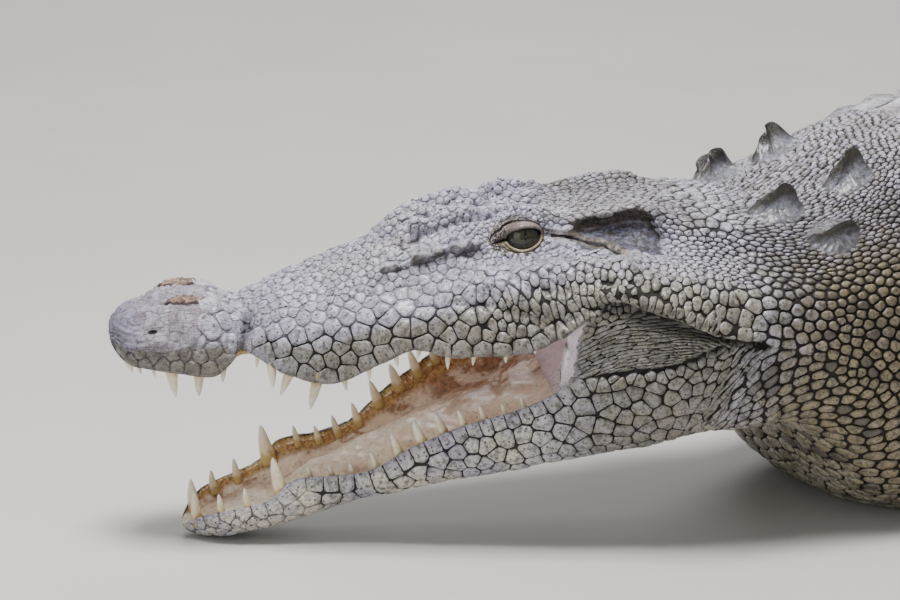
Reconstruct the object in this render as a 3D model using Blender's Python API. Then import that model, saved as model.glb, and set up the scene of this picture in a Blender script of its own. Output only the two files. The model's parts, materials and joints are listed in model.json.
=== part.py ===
"""Saltwater crocodile: a large adult male, life-size, lying on its belly with its jaws open.

The animal is built closed-mouthed and straight, as cross-sections along the body, then the lower
jaw is swung down about the jaw joint and the whole is laid along a bent centre line.
Metres, +Z up, the head towards -X and the animal's left side towards -Y.
"""

import math

import bmesh
import bpy
import numpy as np
from mathutils import Matrix, Vector

# Driving dimensions
TOTAL_LENGTH = 4.6
JAW_JOINT = (0.655, 0.020)      # distance back from the snout tip, height over the tooth line
GAPE = math.radians(19.0)
MOUTH_CORNER = 0.51             # how far back the mouth is slit
CORNER_LEAD = 0.030             # how much further forward the lower lip's corner sits
HEAD_PITCH = math.radians(5.0)  # snout down
HEAD_ROLL = math.radians(5.5)   # left side down
HEAD_TURN = -28.0               # heading of the head's length against the trunk's, in degrees
SNOUT_HEIGHT = 0.233            # tooth line above the floor at the snout tip
FLOOR_PRESS = 0.006             # how far the belly would sink in if the floor were soft
GAP = 0.0004                    # between pieces
NOSE_ROUND = 0.024
CHIN_ROUND = 0.045
CHIN_SETBACK = 0.014
EYE_AT = (0.481, 0.0575, 0.101)
EYE_RADIUS = 0.0225

# Cross-section outlines of the head, as (distance back, value) points.
# Each ring starts at the top midline and runs down the side to the throat.
TOP_Z = ((0, .052), (.035, .056), (.075, .066), (.115, .062), (.15, .043), (.185, .054), (.23, .068),
         (.28, .081), (.33, .093), (.38, .106), (.43, .114), (.48, .112), (.53, .112), (.66, .112))
CREST_W = ((0, .012), (.075, .020), (.15, .018), (.3, .022), (.4, .026), (.48, .028), (.6, .034),
           (.66, .036))
CREST_Z = ((0, .050), (.035, .054), (.075, .066), (.115, .062), (.15, .044), (.185, .056), (.23, .071),
           (.28, .085), (.33, .101), (.36, .120), (.41, .130), (.465, .130), (.49, .122), (.53, .114),
           (.66, .112))
RIDGE_W = ((0, .022), (.04, .034), (.075, .042), (.115, .044), (.15, .038), (.2, .045), (.3, .052),
           (.38, .055), (.43, .052), (.49, .050), (.53, .056), (.6, .063), (.64, .062), (.66, .070))
RIDGE_Z = ((0, .043), (.04, .050), (.075, .060), (.115, .056), (.15, .038), (.2, .051), (.25, .063),
           (.3, .076), (.38, .100), (.43, .112), (.465, .127), (.49, .130), (.53, .119), (.6, .115),
           (.64, .113), (.66, .105))
UNDER_W = ((0, .030), (.04, .048), (.075, .058), (.115, .060), (.15, .052), (.2, .066), (.3, .078),
           (.43, .078), (.48, .084), (.53, .074), (.58, .074), (.64, .080), (.66, .090))
UNDER_Z = ((0, .034), (.04, .037), (.075, .042), (.115, .039), (.15, .029), (.2, .038), (.3, .058),
           (.38, .076), (.43, .086), (.48, .088), (.53, .090), (.58, .086), (.64, .080), (.66, .082))
SIDE_W = ((0, .034), (.04, .055), (.075, .064), (.115, .068), (.15, .058), (.2, .082), (.24, .094),
          (.3, .106), (.38, .120), (.43, .126), (.48, .130), (.53, .140), (.575, .152), (.62, .162),
          (.66, .166))
SIDE_Z = ((0, .018), (.075, .020), (.15, .016), (.2, .014), (.24, .016), (.3, .030), (.38, .042),
          (.43, .052), (.48, .060), (.53, .068), (.575, .073), (.62, .067), (.66, .060))
LIP_W = ((0, .030), (.03, .045), (.07, .062), (.11, .070), (.15, .060), (.19, .084), (.24, .100),
         (.3, .115), (.34, .125), (.38, .135), (.45, .150), (.5, .160), (.53, .165), (.575, .176), (.62, .186),
         (.66, .190))
LIP_Z = ((0, -.002), (.03, -.007), (.07, -.013), (.11, -.019), (.15, .002), (.19, -.020), (.24, -.034),
         (.3, -.011),
         (.34, .004), (.38, -.007), (.45, -.007), (.5, .010), (.53, .029), (.575, .050), (.62, .042),
         (.66, .022))
GUM_W = ((0, .024), (.03, .038), (.07, .052), (.11, .060), (.15, .064), (.19, .068), (.24, .080), (.3, .098),
         (.38, .120), (.45, .137), (.5, .148), (.53, .156), (.575, .168), (.62, .180), (.66, .186))
GUM_Z = ((0, -.008), (.03, -.006), (.11, -.014), (.15, -.002), (.2, -.016), (.24, -.024), (.3, -.012),
         (.38, -.006), (.45, -.008), (.5, -.004), (.53, .002), (.575, .002), (.62, -.008), (.66, -.022))
JAW_W = ((0, .026), (.04, .044), (.1, .062), (.15, .067), (.2, .074), (.3, .104), (.38, .126), (.45, .142),
         (.53, .158), (.6, .176), (.66, .186))
JAW_Z = ((0, -.022), (.1, -.030), (.2, -.036), (.3, -.038), (.4, -.044), (.5, -.050), (.6, -.062),
         (.66, -.076))
KEEL_W = ((0, .018), (.04, .032), (.1, .046), (.2, .056), (.3, .084), (.4, .110), (.5, .130), (.6, .145),
          (.66, .155))
KEEL_Z = ((0, -.036), (.1, -.050), (.2, -.060), (.3, -.070), (.4, -.084), (.5, -.098), (.6, -.122),
          (.66, -.140))
THROAT_Z = ((0, -.040), (.1, -.055), (.3, -.075), (.5, -.105), (.6, -.135), (.66, -.158))
PALATE_Z = ((0, .006), (.1, .004), (.2, .004), (.3, .014), (.45, .022), (.53, .026))
FLOOR_Z = ((0, -.016), (.1, -.030), (.2, -.042), (.3, -.046), (.45, -.056), (.53, -.056))

# Body outline, from the back of the head to the tail tip
BODY_W = ((.60, .186), (.70, .194), (.76, .200), (.85, .212), (.95, .232), (1.05, .258), (1.3, .308),
          (1.65, .342), (1.95, .326), (2.15, .286), (2.35, .226), (2.6, .172), (3.0, .128), (3.4, .096),
          (3.8, .068), (4.2, .042), (4.45, .025), (4.6, .006))
BACK_HEIGHT = ((.60, .384), (.66, .386), (.72, .391), (.80, .408), (.90, .438), (1.05, .460), (1.4, .458),
               (1.9, .438), (2.2, .408), (2.45, .375), (2.8, .315), (3.2, .262), (3.6, .222), (4.0, .180),
               (4.3, .135), (4.5, .085), (4.6, .030))
AXIS_HEIGHT = ((.0, .233), (.62, .287), (.70, .291), (.78, .284), (.90, .255), (1.05, .225), (1.9, .215),
               (2.2, .200), (2.45, .175), (2.8, .145), (3.2, .120), (3.6, .098), (4.0, .078), (4.3, .058),
               (4.5, .038), (4.6, .014))
BELLY_DEPTH = ((.60, .135), (.66, .156), (.72, .182), (.80, .232), (.90, .257), (.98, .247))
HEADING = ((.62, HEAD_TURN), (.92, 0.0), (2.3, 0.0), (2.8, 12.0), (3.4, 28.0), (3.9, 22.0), (4.6, -22.0))
RING_ANGLES = (0, 17, 37, 57, 76, 92, 108, 124, 143, 162, 180)
UPPER_LIP = 5
LOWER_LIP = 6

# Rings of the solids, and the places where the body is parted
FRONT_RINGS = (0.0015, .008, .020, .040, .075, .11, .15, .19, .24, .28, .32, .36, .40, .44, .465, .49, .51, .53,
               .56, .60, .635, .66, .70, .75, .80, .86, .92, .98)
BODY_PARTS = (("trunk", .98, 2.38, 11), ("tail_base", 2.38, 3.15, 7), ("tail_middle", 3.15, 3.88, 7),
              ("tail_tip", 3.88, 4.592, 8))
HALF_RING = (0, 1, 2, 2.5, 3.2, 4, 5, 5.5, 6, 7, 8, 9, 10)
LINING_STEPS = 8

# Teeth: distance back and length, upper then lower
UPPER_TEETH = ((.012, .019), (.024, .013), (.040, .014), (.062, .033), (.094, .028), (.124, .018),
               (.166, .014),
               (.178, .027), (.200, .028), (.229, .032), (.256, .016), (.285, .016), (.315, .016),
               (.345, .016),
               (.375, .016), (.405, .014), (.440, .013), (.475, .010))
LOWER_TEETH = ((.020, .030), (.050, .020), (.082, .020), (.128, .040), (.170, .016), (.195, .016),
               (.220, .018),
               (.250, .021), (.282, .026), (.312, .030), (.342, .026), (.372, .020), (.402, .017),
               (.432, .014),
               (.460, .011))
TOOTH_SIDES = 4
SCUTE_SIDES = 8
TOOTH_ROOT = .014

# Tail crest: two rows of upright scutes that draw together into one
CREST_START = 2.30
CREST_JOIN = 3.42
CREST_END = 4.50
CREST_PITCH = .0645
NUCHAL_SCUTES = ((.757, .074, .024), (.757, -.074, .024), (.845, .070, .024), (.845, -.070, .024),
                 (.790, .140, .016), (.790, -.140, .016))

COLOURS = {
    "hide": (.33, .31, .25),
    "mouth": (.78, .55, .42),
    "eye": (.16, .15, .07),
}


def smooth(low, high, x):
    """A soft step from 0 at low to 1 at high."""
    x = np.clip((np.asarray(x, float) - low) / (high - low), 0.0, 1.0)
    return x * x * (3.0 - 2.0 * x)


def curve(points, x):
    """Read a smooth curve through the points, without overshoot."""
    xs, ys = (np.array(column, float) for column in zip(*points))
    x = np.clip(np.asarray(x, float), xs[0], xs[-1])
    steps = np.diff(xs)
    slopes = np.diff(ys) / steps
    tangents = np.zeros_like(ys)
    same = slopes[1:] * slopes[:-1] > 0
    before = 2 * steps[1:] + steps[:-1]
    after = steps[1:] + 2 * steps[:-1]
    with np.errstate(divide="ignore", invalid="ignore"):
        inner = (before + after) / (before / slopes[:-1] + after / slopes[1:])
    tangents[1:-1] = np.where(same, inner, 0.0)
    tangents[0] = slopes[0]
    tangents[-1] = slopes[-1]
    i = np.clip(np.searchsorted(xs, x, side="right") - 1, 0, len(xs) - 2)
    t = (x - xs[i]) / steps[i]
    rise = ys[i + 1] - ys[i]
    start = tangents[i] * steps[i]
    end = tangents[i + 1] * steps[i]
    return ys[i] + t * start + t * t * (3 * rise - 2 * start - end) + t ** 3 * (start + end - 2 * rise)


def head_controls(s):
    """Half-ring control points of the closed head: (distance, side, height) for each ring."""
    belly = curve(THROAT_Z, s)
    keel_w = curve(KEEL_W, s)
    keel_z = curve(KEEL_Z, s)
    pairs = [(0 * s, curve(TOP_Z, s)), (curve(CREST_W, s), curve(CREST_Z, s)),
             (curve(RIDGE_W, s), curve(RIDGE_Z, s)), (curve(UNDER_W, s), curve(UNDER_Z, s)),
             (curve(SIDE_W, s), curve(SIDE_Z, s)), (curve(LIP_W, s), curve(LIP_Z, s)),
             (curve(GUM_W, s), curve(GUM_Z, s)), (curve(JAW_W, s), curve(JAW_Z, s)),
             (keel_w, keel_z), (keel_w * .5, (keel_z + belly * 2) / 3), (0 * s, belly)]
    points = np.array([[s, w, z] for w, z in pairs]).transpose(2, 0, 1)
    for first, last, setback, reach, middle in ((0, 6, 0.0, NOSE_ROUND, .022),
                                                (6, 11, CHIN_SETBACK, CHIN_ROUND, -.024)):
        t = np.clip(s / reach, 0.0, 1.0)
        fullness = np.sqrt(1.0 - (1.0 - t) ** 2)[:, None]
        block = points[:, first:last]
        block[..., 1] *= fullness
        block[..., 2] = middle + (block[..., 2] - middle) * fullness
        block[..., 0] += (setback * (1.0 - smooth(0, .3, s)))[:, None]
    return points


def body_controls(s):
    """Half-ring control points of neck, trunk and tail, from the outline's width, back and belly."""
    width = curve(BODY_W, s)
    axis = curve(AXIS_HEIGHT, s)
    top = curve(BACK_HEIGHT, s) - axis
    bottom = np.where(s < .98, -curve(BELLY_DEPTH, s), -axis - FLOOR_PRESS * smooth(.9, 1.05, s))
    tail = smooth(2.2, 2.7, s)
    middle = -.012 * (1 - tail) + bottom * .25 * tail
    up_power = .92 + .06 * tail
    down_power = .66 + .20 * tail
    points = []
    for angle in RING_ANGLES:
        across, along = math.sin(math.radians(angle)), math.cos(math.radians(angle))
        if along >= 0:
            w = width * across ** up_power
            z = middle + (top - middle) * along ** up_power
        else:
            w = width * across ** down_power
            z = middle + (bottom - middle) * (-along) ** down_power
        points.append([s, w, z])
    points = np.array(points).transpose(2, 0, 1)
    points[:, 0, 1] = 0.0
    points[:, -1, 1] = 0.0
    return points


def open_jaw(points, weight):
    """Swing points about the jaw joint by the gape times their weight."""
    angle = GAPE * weight
    back = points[..., 0] - JAW_JOINT[0]
    up = points[..., 2] - JAW_JOINT[1]
    out = points.copy()
    out[..., 0] = JAW_JOINT[0] + back * np.cos(angle) - up * np.sin(angle)
    out[..., 2] = JAW_JOINT[1] + back * np.sin(angle) + up * np.cos(angle)
    return out


def jaw_weight(s):
    return 1.0 - smooth(.62, .86, s)


def controls(s):
    """Control points of the open-mouthed animal."""
    blend = smooth(.62, .80, s)[:, None, None]
    points = head_controls(s) * (1 - blend) + body_controls(s) * blend
    lead = CORNER_LEAD * smooth(.30, .52, s) * (1 - smooth(.55, .66, s))
    points[:, LOWER_LIP:, 0] -= lead[:, None]
    weight = np.zeros(points.shape[:2])
    weight[:, LOWER_LIP:] = jaw_weight(s)[:, None]
    return open_jaw(points, weight)


def ring_point(points, s, c):
    """A point of the ring at place c, on a smooth curve through the control points."""
    i = min(int(c), len(RING_ANGLES) - 2)
    t = c - i
    joined = smooth(MOUTH_CORNER, MOUTH_CORNER + .06, s)[:, None]
    mirror = np.array((1.0, -1.0, 1.0))
    here, there = points[:, i], points[:, i + 1]
    before = points[:, 1] * mirror if i == 0 else points[:, i - 1]
    after = points[:, -2] * mirror if i == len(RING_ANGLES) - 2 else points[:, i + 2]
    if i == LOWER_LIP:
        before = before * joined + (2 * here - there) * (1 - joined)
    if i == UPPER_LIP - 1:
        after = after * joined + (2 * there - here) * (1 - joined)
    if i == UPPER_LIP:
        before = before * joined + here * (1 - joined)
        after = after * joined + there * (1 - joined)
    m0 = (there - before) / 2
    m1 = (after - here) / 2
    out = here + m0 * t + (3 * (there - here) - 2 * m0 - m1) * t * t + (m0 + m1 - 2 * (there - here)) * t ** 3
    if i == UPPER_LIP:
        inset = .016 * math.sin(math.pi * t) * (1 - smooth(.56, .72, s))
        out[:, 1] -= inset
    return out


def spine(s):
    """The centre line and the side and up directions at distance s along the body."""
    steps = np.linspace(0, TOTAL_LENGTH, 2301)
    heading = np.radians(curve(HEADING, steps))
    middle = (heading[1:] + heading[:-1]) / 2
    x = np.concatenate(([0], np.cumsum(np.cos(middle) * np.diff(steps))))
    y = np.concatenate(([0], np.cumsum(np.sin(middle) * np.diff(steps))))
    s = np.asarray(s, float)
    turn = np.radians(curve(HEADING, s))
    fade = 1 - smooth(.62, .95, s)
    pitch = HEAD_PITCH * fade
    roll = HEAD_ROLL * fade
    height = curve(AXIS_HEIGHT, s)
    height = np.where(s < .60, SNOUT_HEIGHT + math.sin(HEAD_PITCH) * s, height)
    centre = np.stack([np.interp(s, steps, x), np.interp(s, steps, y), height], -1)
    run = np.stack([np.cos(turn), np.sin(turn), 0 * s], -1)
    side = np.stack([np.sin(turn), -np.cos(turn), 0 * s], -1)
    lift = np.zeros_like(run)
    lift[..., 2] = 1.0
    up = -run * np.sin(pitch)[..., None] + lift * np.cos(pitch)[..., None]
    tilted_side = side * np.cos(roll)[..., None] - up * np.sin(roll)[..., None]
    tilted_up = up * np.cos(roll)[..., None] + side * np.sin(roll)[..., None]
    return centre, tilted_side, tilted_up


def place(points):
    """Lay (distance, side, height) points along the spine, and flatten what presses on the floor."""
    centre, side, up = spine(points[..., 0])
    out = centre + side * points[..., 1:2] + up * points[..., 2:3]
    out[..., 2] = np.maximum(out[..., 2], 0.0)
    return out


def ring_loops(s, half_ring=HALF_RING):
    """Left half-rings of the whole body at each distance, as an array of rings by places."""
    points = controls(s)
    return np.stack([ring_point(points, s, c) for c in half_ring], 1)


def mirrored(points):
    return points * np.array((1.0, -1.0, 1.0))


def new_object(name, vertices, faces, material):
    """A mesh object with outward faces and smooth shading that keeps sharp edges."""
    mesh = bpy.data.meshes.new(name)
    mesh.from_pydata([tuple(v) for v in vertices], [], faces)
    build = bmesh.new()
    build.from_mesh(mesh)
    bmesh.ops.recalc_face_normals(build, faces=build.faces)
    build.to_mesh(mesh)
    build.free()
    mesh.shade_smooth()
    mesh.set_sharp_from_angle(angle=math.radians(50))
    mesh.materials.append(material)
    thing = bpy.data.objects.new(name, mesh)
    bpy.context.scene.collection.objects.link(thing)
    return thing


def new_material(name, colour, roughness):
    material = bpy.data.materials.new(name)
    material.use_nodes = True
    shader = material.node_tree.nodes["Principled BSDF"]
    shader.inputs["Base Color"].default_value = (*colour, 1.0)
    shader.inputs["Roughness"].default_value = roughness
    shader.inputs["Metallic"].default_value = 0.0
    return material


class Shell:
    """Collects vertices and faces of one closed surface."""

    def __init__(self):
        self.vertices = []
        self.faces = []

    def add(self, point):
        self.vertices.append(point)
        return len(self.vertices) - 1

    def strip(self, first, second, closed=False):
        count = len(first) if closed else len(first) - 1
        for i in range(count):
            j = (i + 1) % len(first)
            corners = [first[i], first[j], second[j], second[i]]
            kept = [c for n, c in enumerate(corners) if c != corners[n - 1]]
            if len(kept) > 2:
                self.faces.append(kept)

    def fan(self, loop, centre):
        for i, here in enumerate(loop):
            self.faces.append([here, loop[(i + 1) % len(loop)], centre])


def front_shell():
    """Head, jaws, mouth lining and neck as one closed surface."""
    shell = Shell()
    s = np.array(FRONT_RINGS)
    left = ring_loops(s)
    corner = FRONT_RINGS.index(MOUTH_CORNER)
    lip = HALF_RING.index(UPPER_LIP)
    gum = HALF_RING.index(LOWER_LIP)
    places = len(HALF_RING)
    world_left = place(left)
    world_right = place(mirrored(left))
    ids = np.full((len(s), places, 2), -1)
    for i in range(len(s)):
        for j in range(places):
            if i < corner and lip < j < gum:
                continue
            ids[i, j, 0] = shell.add(world_left[i, j])
            on_middle = j in (0, places - 1)
            ids[i, j, 1] = ids[i, j, 0] if on_middle else shell.add(world_right[i, j])
    for i in range(len(s) - 1):
        for side in (0, 1):
            if i < corner:
                shell.strip(ids[i, :lip + 1, side], ids[i + 1, :lip + 1, side])
                shell.strip(ids[i, gum:, side], ids[i + 1, gum:, side])
            else:
                shell.strip(ids[i, :, side], ids[i + 1, :, side])
    across = 1 - 2 * np.arange(1, LINING_STEPS) / LINING_STEPS
    roof, bed = lining(s[:corner + 1], left[:corner + 1, lip], left[:corner + 1, gum], across)
    world_roof, world_bed = place(roof), place(bed)
    roof_ids = [[ids[i, lip, 0]] + [shell.add(p) for p in world_roof[i]] + [ids[i, lip, 1]]
                for i in range(corner + 1)]
    bed_ids = [[ids[i, gum, 0]] + [shell.add(p) for p in world_bed[i]] + [ids[i, gum, 1]]
               for i in range(corner + 1)]
    for rows in (roof_ids, bed_ids):
        for first, second in zip(rows, rows[1:]):
            shell.strip(first, second)
    rows = [roof_ids[corner]]
    for j in range(lip + 1, gum):
        share = (j - lip) / (gum - lip)
        wall = roof[corner] * (1 - share) + bed[corner] * share
        wall[:, 0] += .040 * (1 - across ** 2) * math.sin(math.pi * share)
        rows.append([ids[corner, j, 0]] + [shell.add(p) for p in place(wall)] + [ids[corner, j, 1]])
    rows.append(bed_ids[corner])
    for first, second in zip(rows, rows[1:]):
        shell.strip(first, second)
    top_loop = list(ids[0, :lip + 1, 0]) + roof_ids[0][1:-1] + list(ids[0, lip:0:-1, 1])
    low_loop = list(ids[0, gum:, 0]) + list(ids[0, -2:gum - 1:-1, 1]) + bed_ids[0][-2:0:-1]
    end_loop = list(ids[-1, :, 0]) + list(ids[-1, -2:0:-1, 1])
    for loop in (top_loop, low_loop, end_loop):
        shell.fan(loop, shell.add(np.mean([shell.vertices[n] for n in loop], axis=0)))
    return shell


def lining(s, lips, gums, across):
    """The palate and the mouth's floor between the tooth rows, in the open mouth's own frame."""
    roof = np.repeat(lips[:, None, :], len(across), 1)
    bed = np.repeat(gums[:, None, :], len(across), 1)
    spread = 1 - across ** 6
    roof[..., 1] = lips[:, None, 1] * across
    roof[..., 2] += (curve(PALATE_Z, s) - curve(LIP_Z, s))[:, None] * spread * smooth(0, .02, s)[:, None]
    depth = (curve(FLOOR_Z, s) - curve(GUM_Z, s))[:, None] * spread * smooth(0, .03, s)[:, None]
    bed[..., 1] = gums[:, None, 1] * across
    bed[..., 0] += -depth * math.sin(GAPE)
    bed[..., 2] += depth * math.cos(GAPE)
    return roof, bed


def body_shell(start, end, count):
    """One length of trunk or tail between two flat ends."""
    shell = Shell()
    s = np.linspace(start, end, count + 1)
    left = ring_loops(s)
    world_left = place(left)
    world_right = place(mirrored(left))
    rings = []
    for i in range(len(s)):
        loop = list(world_left[i]) + list(world_right[i, -2:0:-1])
        rings.append([shell.add(p) for p in loop])
    shift = run_direction(start) * GAP
    for n in rings[0]:
        shell.vertices[n] = shell.vertices[n] + shift
    for first, second in zip(rings, rings[1:]):
        shell.strip(first, second, closed=True)
    for loop in (rings[0], rings[-1]):
        shell.fan(loop, shell.add(np.mean([shell.vertices[n] for n in loop], axis=0)))
    return shell


def run_direction(s):
    turn = math.radians(float(curve(HEADING, s)))
    return np.array((math.cos(turn), math.sin(turn), 0.0))


def boolean(thing, cutter, operation):
    """Cut or join with the exact solver, and bake the result into the mesh."""
    modifier = thing.modifiers.new(operation.lower(), "BOOLEAN")
    modifier.operation = operation
    modifier.solver = "EXACT"
    modifier.object = cutter
    with bpy.context.temp_override(object=thing, active_object=thing):
        bpy.ops.object.modifier_apply(modifier=modifier.name)


def place_flat(point):
    """Place a point by the head's rigid frame, however far from the head it is."""
    centre, side, up = spine(np.array([0.0]))
    run = np.cross(up[0], side[0])
    return centre[0] + run * point[0] + side[0] * point[1] + up[0] * point[2]


def cone(shape, base, tip, radius, sides):
    """A slim closed cone from base to tip, as vertices and faces."""
    axis = (tip - base) / np.linalg.norm(tip - base)
    helper = np.array((0.0, 1.0, 0.0)) if abs(axis[1]) < .9 else np.array((1.0, 0.0, 0.0))
    first = np.cross(axis, helper)
    first /= np.linalg.norm(first)
    second = np.cross(axis, first)
    vertices, faces = shape
    start = len(vertices)
    for n in range(sides):
        a = 2 * math.pi * (n + .3) / sides
        vertices.append(base + (first * math.cos(a) + second * math.sin(a)) * radius)
    vertices.append(tip)
    for n in range(sides):
        faces.append([start + n, start + (n + 1) % sides, start + sides])
    faces.append([start + n for n in range(sides)][::-1])


def tooth_row(name, teeth, upper, material):
    """Every tooth of one jaw, as cones rooted in the gum."""
    s = np.array([t[0] for t in teeth])
    line = controls(s)[:, UPPER_LIP if upper else LOWER_LIP]
    shape = ([], [])
    for (distance, length), base in zip(teeth, line):
        for sign in (1, -1):
            root = base * np.array((1.0, sign, 1.0))
            root[1] -= sign * .0075
            direction = np.array((0.0, .08 * sign, -1.0))
            if not upper:
                direction = np.array((-math.sin(GAPE), .08 * sign, math.cos(GAPE)))
            low = place((root - direction * TOOTH_ROOT)[None])[0]
            high = place((root + direction * length)[None])[0]
            cone(shape, low, high, .0012 + length * .21, TOOTH_SIDES)
    return new_object(name, shape[0], shape[1], material)


def crest_strip(name, start, end, side, material):
    """A run of upright tail scutes along the top of the tail, between two distances."""
    shell = Shell()
    first = math.ceil((start + .002 - CREST_START) / (CREST_PITCH / 2))
    last = math.floor((end - .002 - CREST_START) / (CREST_PITCH / 2))
    rings = []
    for n in range(first, last + 1):
        s = CREST_START + n * CREST_PITCH / 2
        growth = float(smooth(CREST_START - .1, CREST_JOIN, s)) * float(1 - .75 * smooth(4.1, CREST_END, s))
        height = (.012 + .046 * growth) * (1.0 if n % 2 else .35)
        apart = (.010 + .052 * float(1 - smooth(CREST_START, CREST_JOIN, s))) * side
        lean = .35 * CREST_PITCH if n % 2 else 0.0
        top = curve(BACK_HEIGHT, s) - curve(AXIS_HEIGHT, s)
        thick = .006
        sink = .030 if side == 0 or abs(apart) < .02 else .040
        low_left, low_right = (s, apart - thick, top - sink), (s, apart + thick, top - sink)
        high = top - .010 - abs(apart) * .25 + height
        high_left, high_right = (s + lean, apart - .0015, high), (s + lean, apart + .0015, high)
        corners = place(np.array([low_left, low_right, high_right, high_left]))
        rings.append([shell.add(p) for p in corners])
    for one, two in zip(rings, rings[1:]):
        shell.strip(one, two, closed=True)
    shell.faces.append(rings[0][::-1])
    shell.faces.append(rings[-1])
    return new_object(name, shell.vertices, shell.faces, material)


def nuchal_scute(name, s, w, height, material):
    """A low keeled cone on the nape."""
    points = controls(np.array([s]))
    top = float(np.interp(abs(w), points[0, :5, 1], points[0, :5, 2]))
    base, ring = place(np.array([[s, w * .93, top - .030]]))[0], []
    shell = Shell()
    for n in range(SCUTE_SIDES):
        a = 2 * math.pi * n / SCUTE_SIDES
        edge = np.array([[s + .040 * math.cos(a), w + .034 * math.sin(a), top - .006]])
        ring.append(shell.add(place(edge)[0]))
    front = shell.add(place(np.array([[s - .016, w * 1.02, top + height * .75]]))[0])
    back = shell.add(place(np.array([[s + .024, w * 1.02, top + height]]))[0])
    foot = shell.add(base)
    for n in range(SCUTE_SIDES):
        shell.faces.append([ring[n], ring[(n + 1) % SCUTE_SIDES], foot])
    for n in range(SCUTE_SIDES):
        a = 2 * math.pi * (n + .5) / SCUTE_SIDES
        peak = back if math.cos(a) > 0 else front
        shell.faces.append([ring[(n + 1) % SCUTE_SIDES], ring[n], peak])
    shell.faces.append([ring[2], back, front])
    shell.faces.append([ring[6], front, back])
    return new_object(name, shell.vertices, shell.faces, material)


def remove(thing):
    mesh = thing.data
    bpy.data.objects.remove(thing)
    bpy.data.meshes.remove(mesh)


def tongue(material):
    """The broad tongue, lying on the floor of the mouth."""
    shell = Shell()
    s = np.array([.13, .17, .24, .30, .36, .42, .47, .495])
    across = np.linspace(.62, -.62, 7)
    points = controls(s)
    _, bed = lining(s, points[:, UPPER_LIP], points[:, LOWER_LIP], across)
    lift = np.array((math.sin(-GAPE), 0.0, math.cos(GAPE)))
    pinch = np.clip((s - .12) / .06, .35, 1.0)[:, None]
    bed[..., 1] *= pinch
    low = place(bed + lift * .0040)
    dome = (.004 + .014 * (1 - (across / .62) ** 2))[None, :, None]
    high = place(bed + lift * (.0040 + dome))
    low_ids = [[shell.add(p) for p in row] for row in low]
    high_ids = [[shell.add(p) for p in row] for row in high]
    for rows in (low_ids, high_ids):
        for first, second in zip(rows, rows[1:]):
            shell.strip(first, second)
    for low_row, high_row in ((low_ids[0], high_ids[0]), (low_ids[-1], high_ids[-1])):
        shell.strip(low_row, high_row)
    for column in (0, -1):
        shell.strip([row[column] for row in low_ids], [row[column] for row in high_ids])
    return new_object("tongue", shell.vertices, shell.faces, material)


def eye(name, side, material, grow=0.0):
    s, w, z = EYE_AT
    centre = place(np.array([[s, w * side, z]]))[0]
    build = bmesh.new()
    bmesh.ops.create_uvsphere(build, u_segments=14, v_segments=9, radius=EYE_RADIUS + grow)
    _, sideways, up = spine(np.array([s]))
    outward = Vector(sideways[0] * side + up[0] * .25).normalized()
    turn = Vector((0, 0, 1)).rotation_difference(outward).to_matrix().to_4x4()
    bmesh.ops.transform(build, matrix=Matrix.Translation(Vector(centre)) @ turn, verts=build.verts)
    mesh = bpy.data.meshes.new(name)
    build.to_mesh(mesh)
    build.free()
    mesh.shade_smooth()
    mesh.materials.append(material)
    ball = bpy.data.objects.new(name, mesh)
    bpy.context.scene.collection.objects.link(ball)
    return ball


# Legs: (distance, side, height above the floor) of each joint, then half-widths there
FORELEG = {
    "path": ((1.13, .150, .190), (1.15, .235, .175), (1.235, .345, .150), (1.240, .392, .120),
             (1.145, .435, .072), (1.080, .452, .040)),
    "wide": (.060, .068, .056, .050, .040, .034),
    "tall": (.075, .080, .062, .054, .038, .028),
    "turnout": 22.0, "spread": 88.0, "foot": .070, "toes": (.072, .088, .092, .080, .060), "claws": 3,
}
HINDLEG = {
    "path": ((2.245, .110, .200), (2.225, .215, .190), (2.090, .350, .168), (2.060, .420, .138),
             (2.125, .500, .082), (2.140, .560, .046)),
    "wide": (.085, .100, .074, .062, .046, .038),
    "tall": (.105, .108, .082, .068, .048, .036),
    "turnout": 68.0, "spread": 46.0, "foot": .105, "toes": (.115, .135, .135, .110), "claws": 3,
}
LEG_SIDES = 8
LEG_STEPS = (0, 1, 1.5, 2, 2.5, 3, 3.5, 4, 4.5, 5)
ELBOW = 3
TOE_SIDES = 5


def limb_rings(leg, side):
    """Rings of points round the limb's path, on the given side of the body."""
    knots = np.array(leg["path"])
    keys = np.arange(len(knots))
    route = np.stack([curve(list(zip(keys, knots[:, k])), LEG_STEPS) for k in range(3)], 1)
    wide = curve(list(zip(keys, leg["wide"])), LEG_STEPS)
    tall = curve(list(zip(keys, leg["tall"])), LEG_STEPS)
    route[:, 2] -= curve(AXIS_HEIGHT, route[:, 0])
    route[:, 1] *= side
    world = place(route)
    tangent = np.gradient(world, axis=0)
    tangent /= np.linalg.norm(tangent, axis=1)[:, None]
    rings = []
    for middle, along, a, b in zip(world, tangent, wide, tall):
        level = np.cross(along, (0, 0, 1))
        level /= np.linalg.norm(level)
        upright = np.cross(level, along)
        ring = []
        for n in range(LEG_SIDES):
            angle = 2 * math.pi * (n + .5) / LEG_SIDES
            ring.append(middle + level * a * math.cos(angle) + upright * b * math.sin(angle))
        rings.append((np.array(ring), along))
    return rings


def limb_piece(name, rings, material, start_gap=0.0):
    shell = Shell()
    ids = []
    for n, (ring, along) in enumerate(rings):
        shift = along * start_gap if n == 0 else 0.0
        points = ring + shift
        points[:, 2] = np.maximum(points[:, 2], 0.0)
        ids.append([shell.add(p) for p in points])
    for first, second in zip(ids, ids[1:]):
        shell.strip(first, second, closed=True)
    for loop in (ids[0], ids[-1]):
        shell.fan(loop, shell.add(np.mean([shell.vertices[n] for n in loop], axis=0)))
    return new_object(name, shell.vertices, shell.faces, material)


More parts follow.
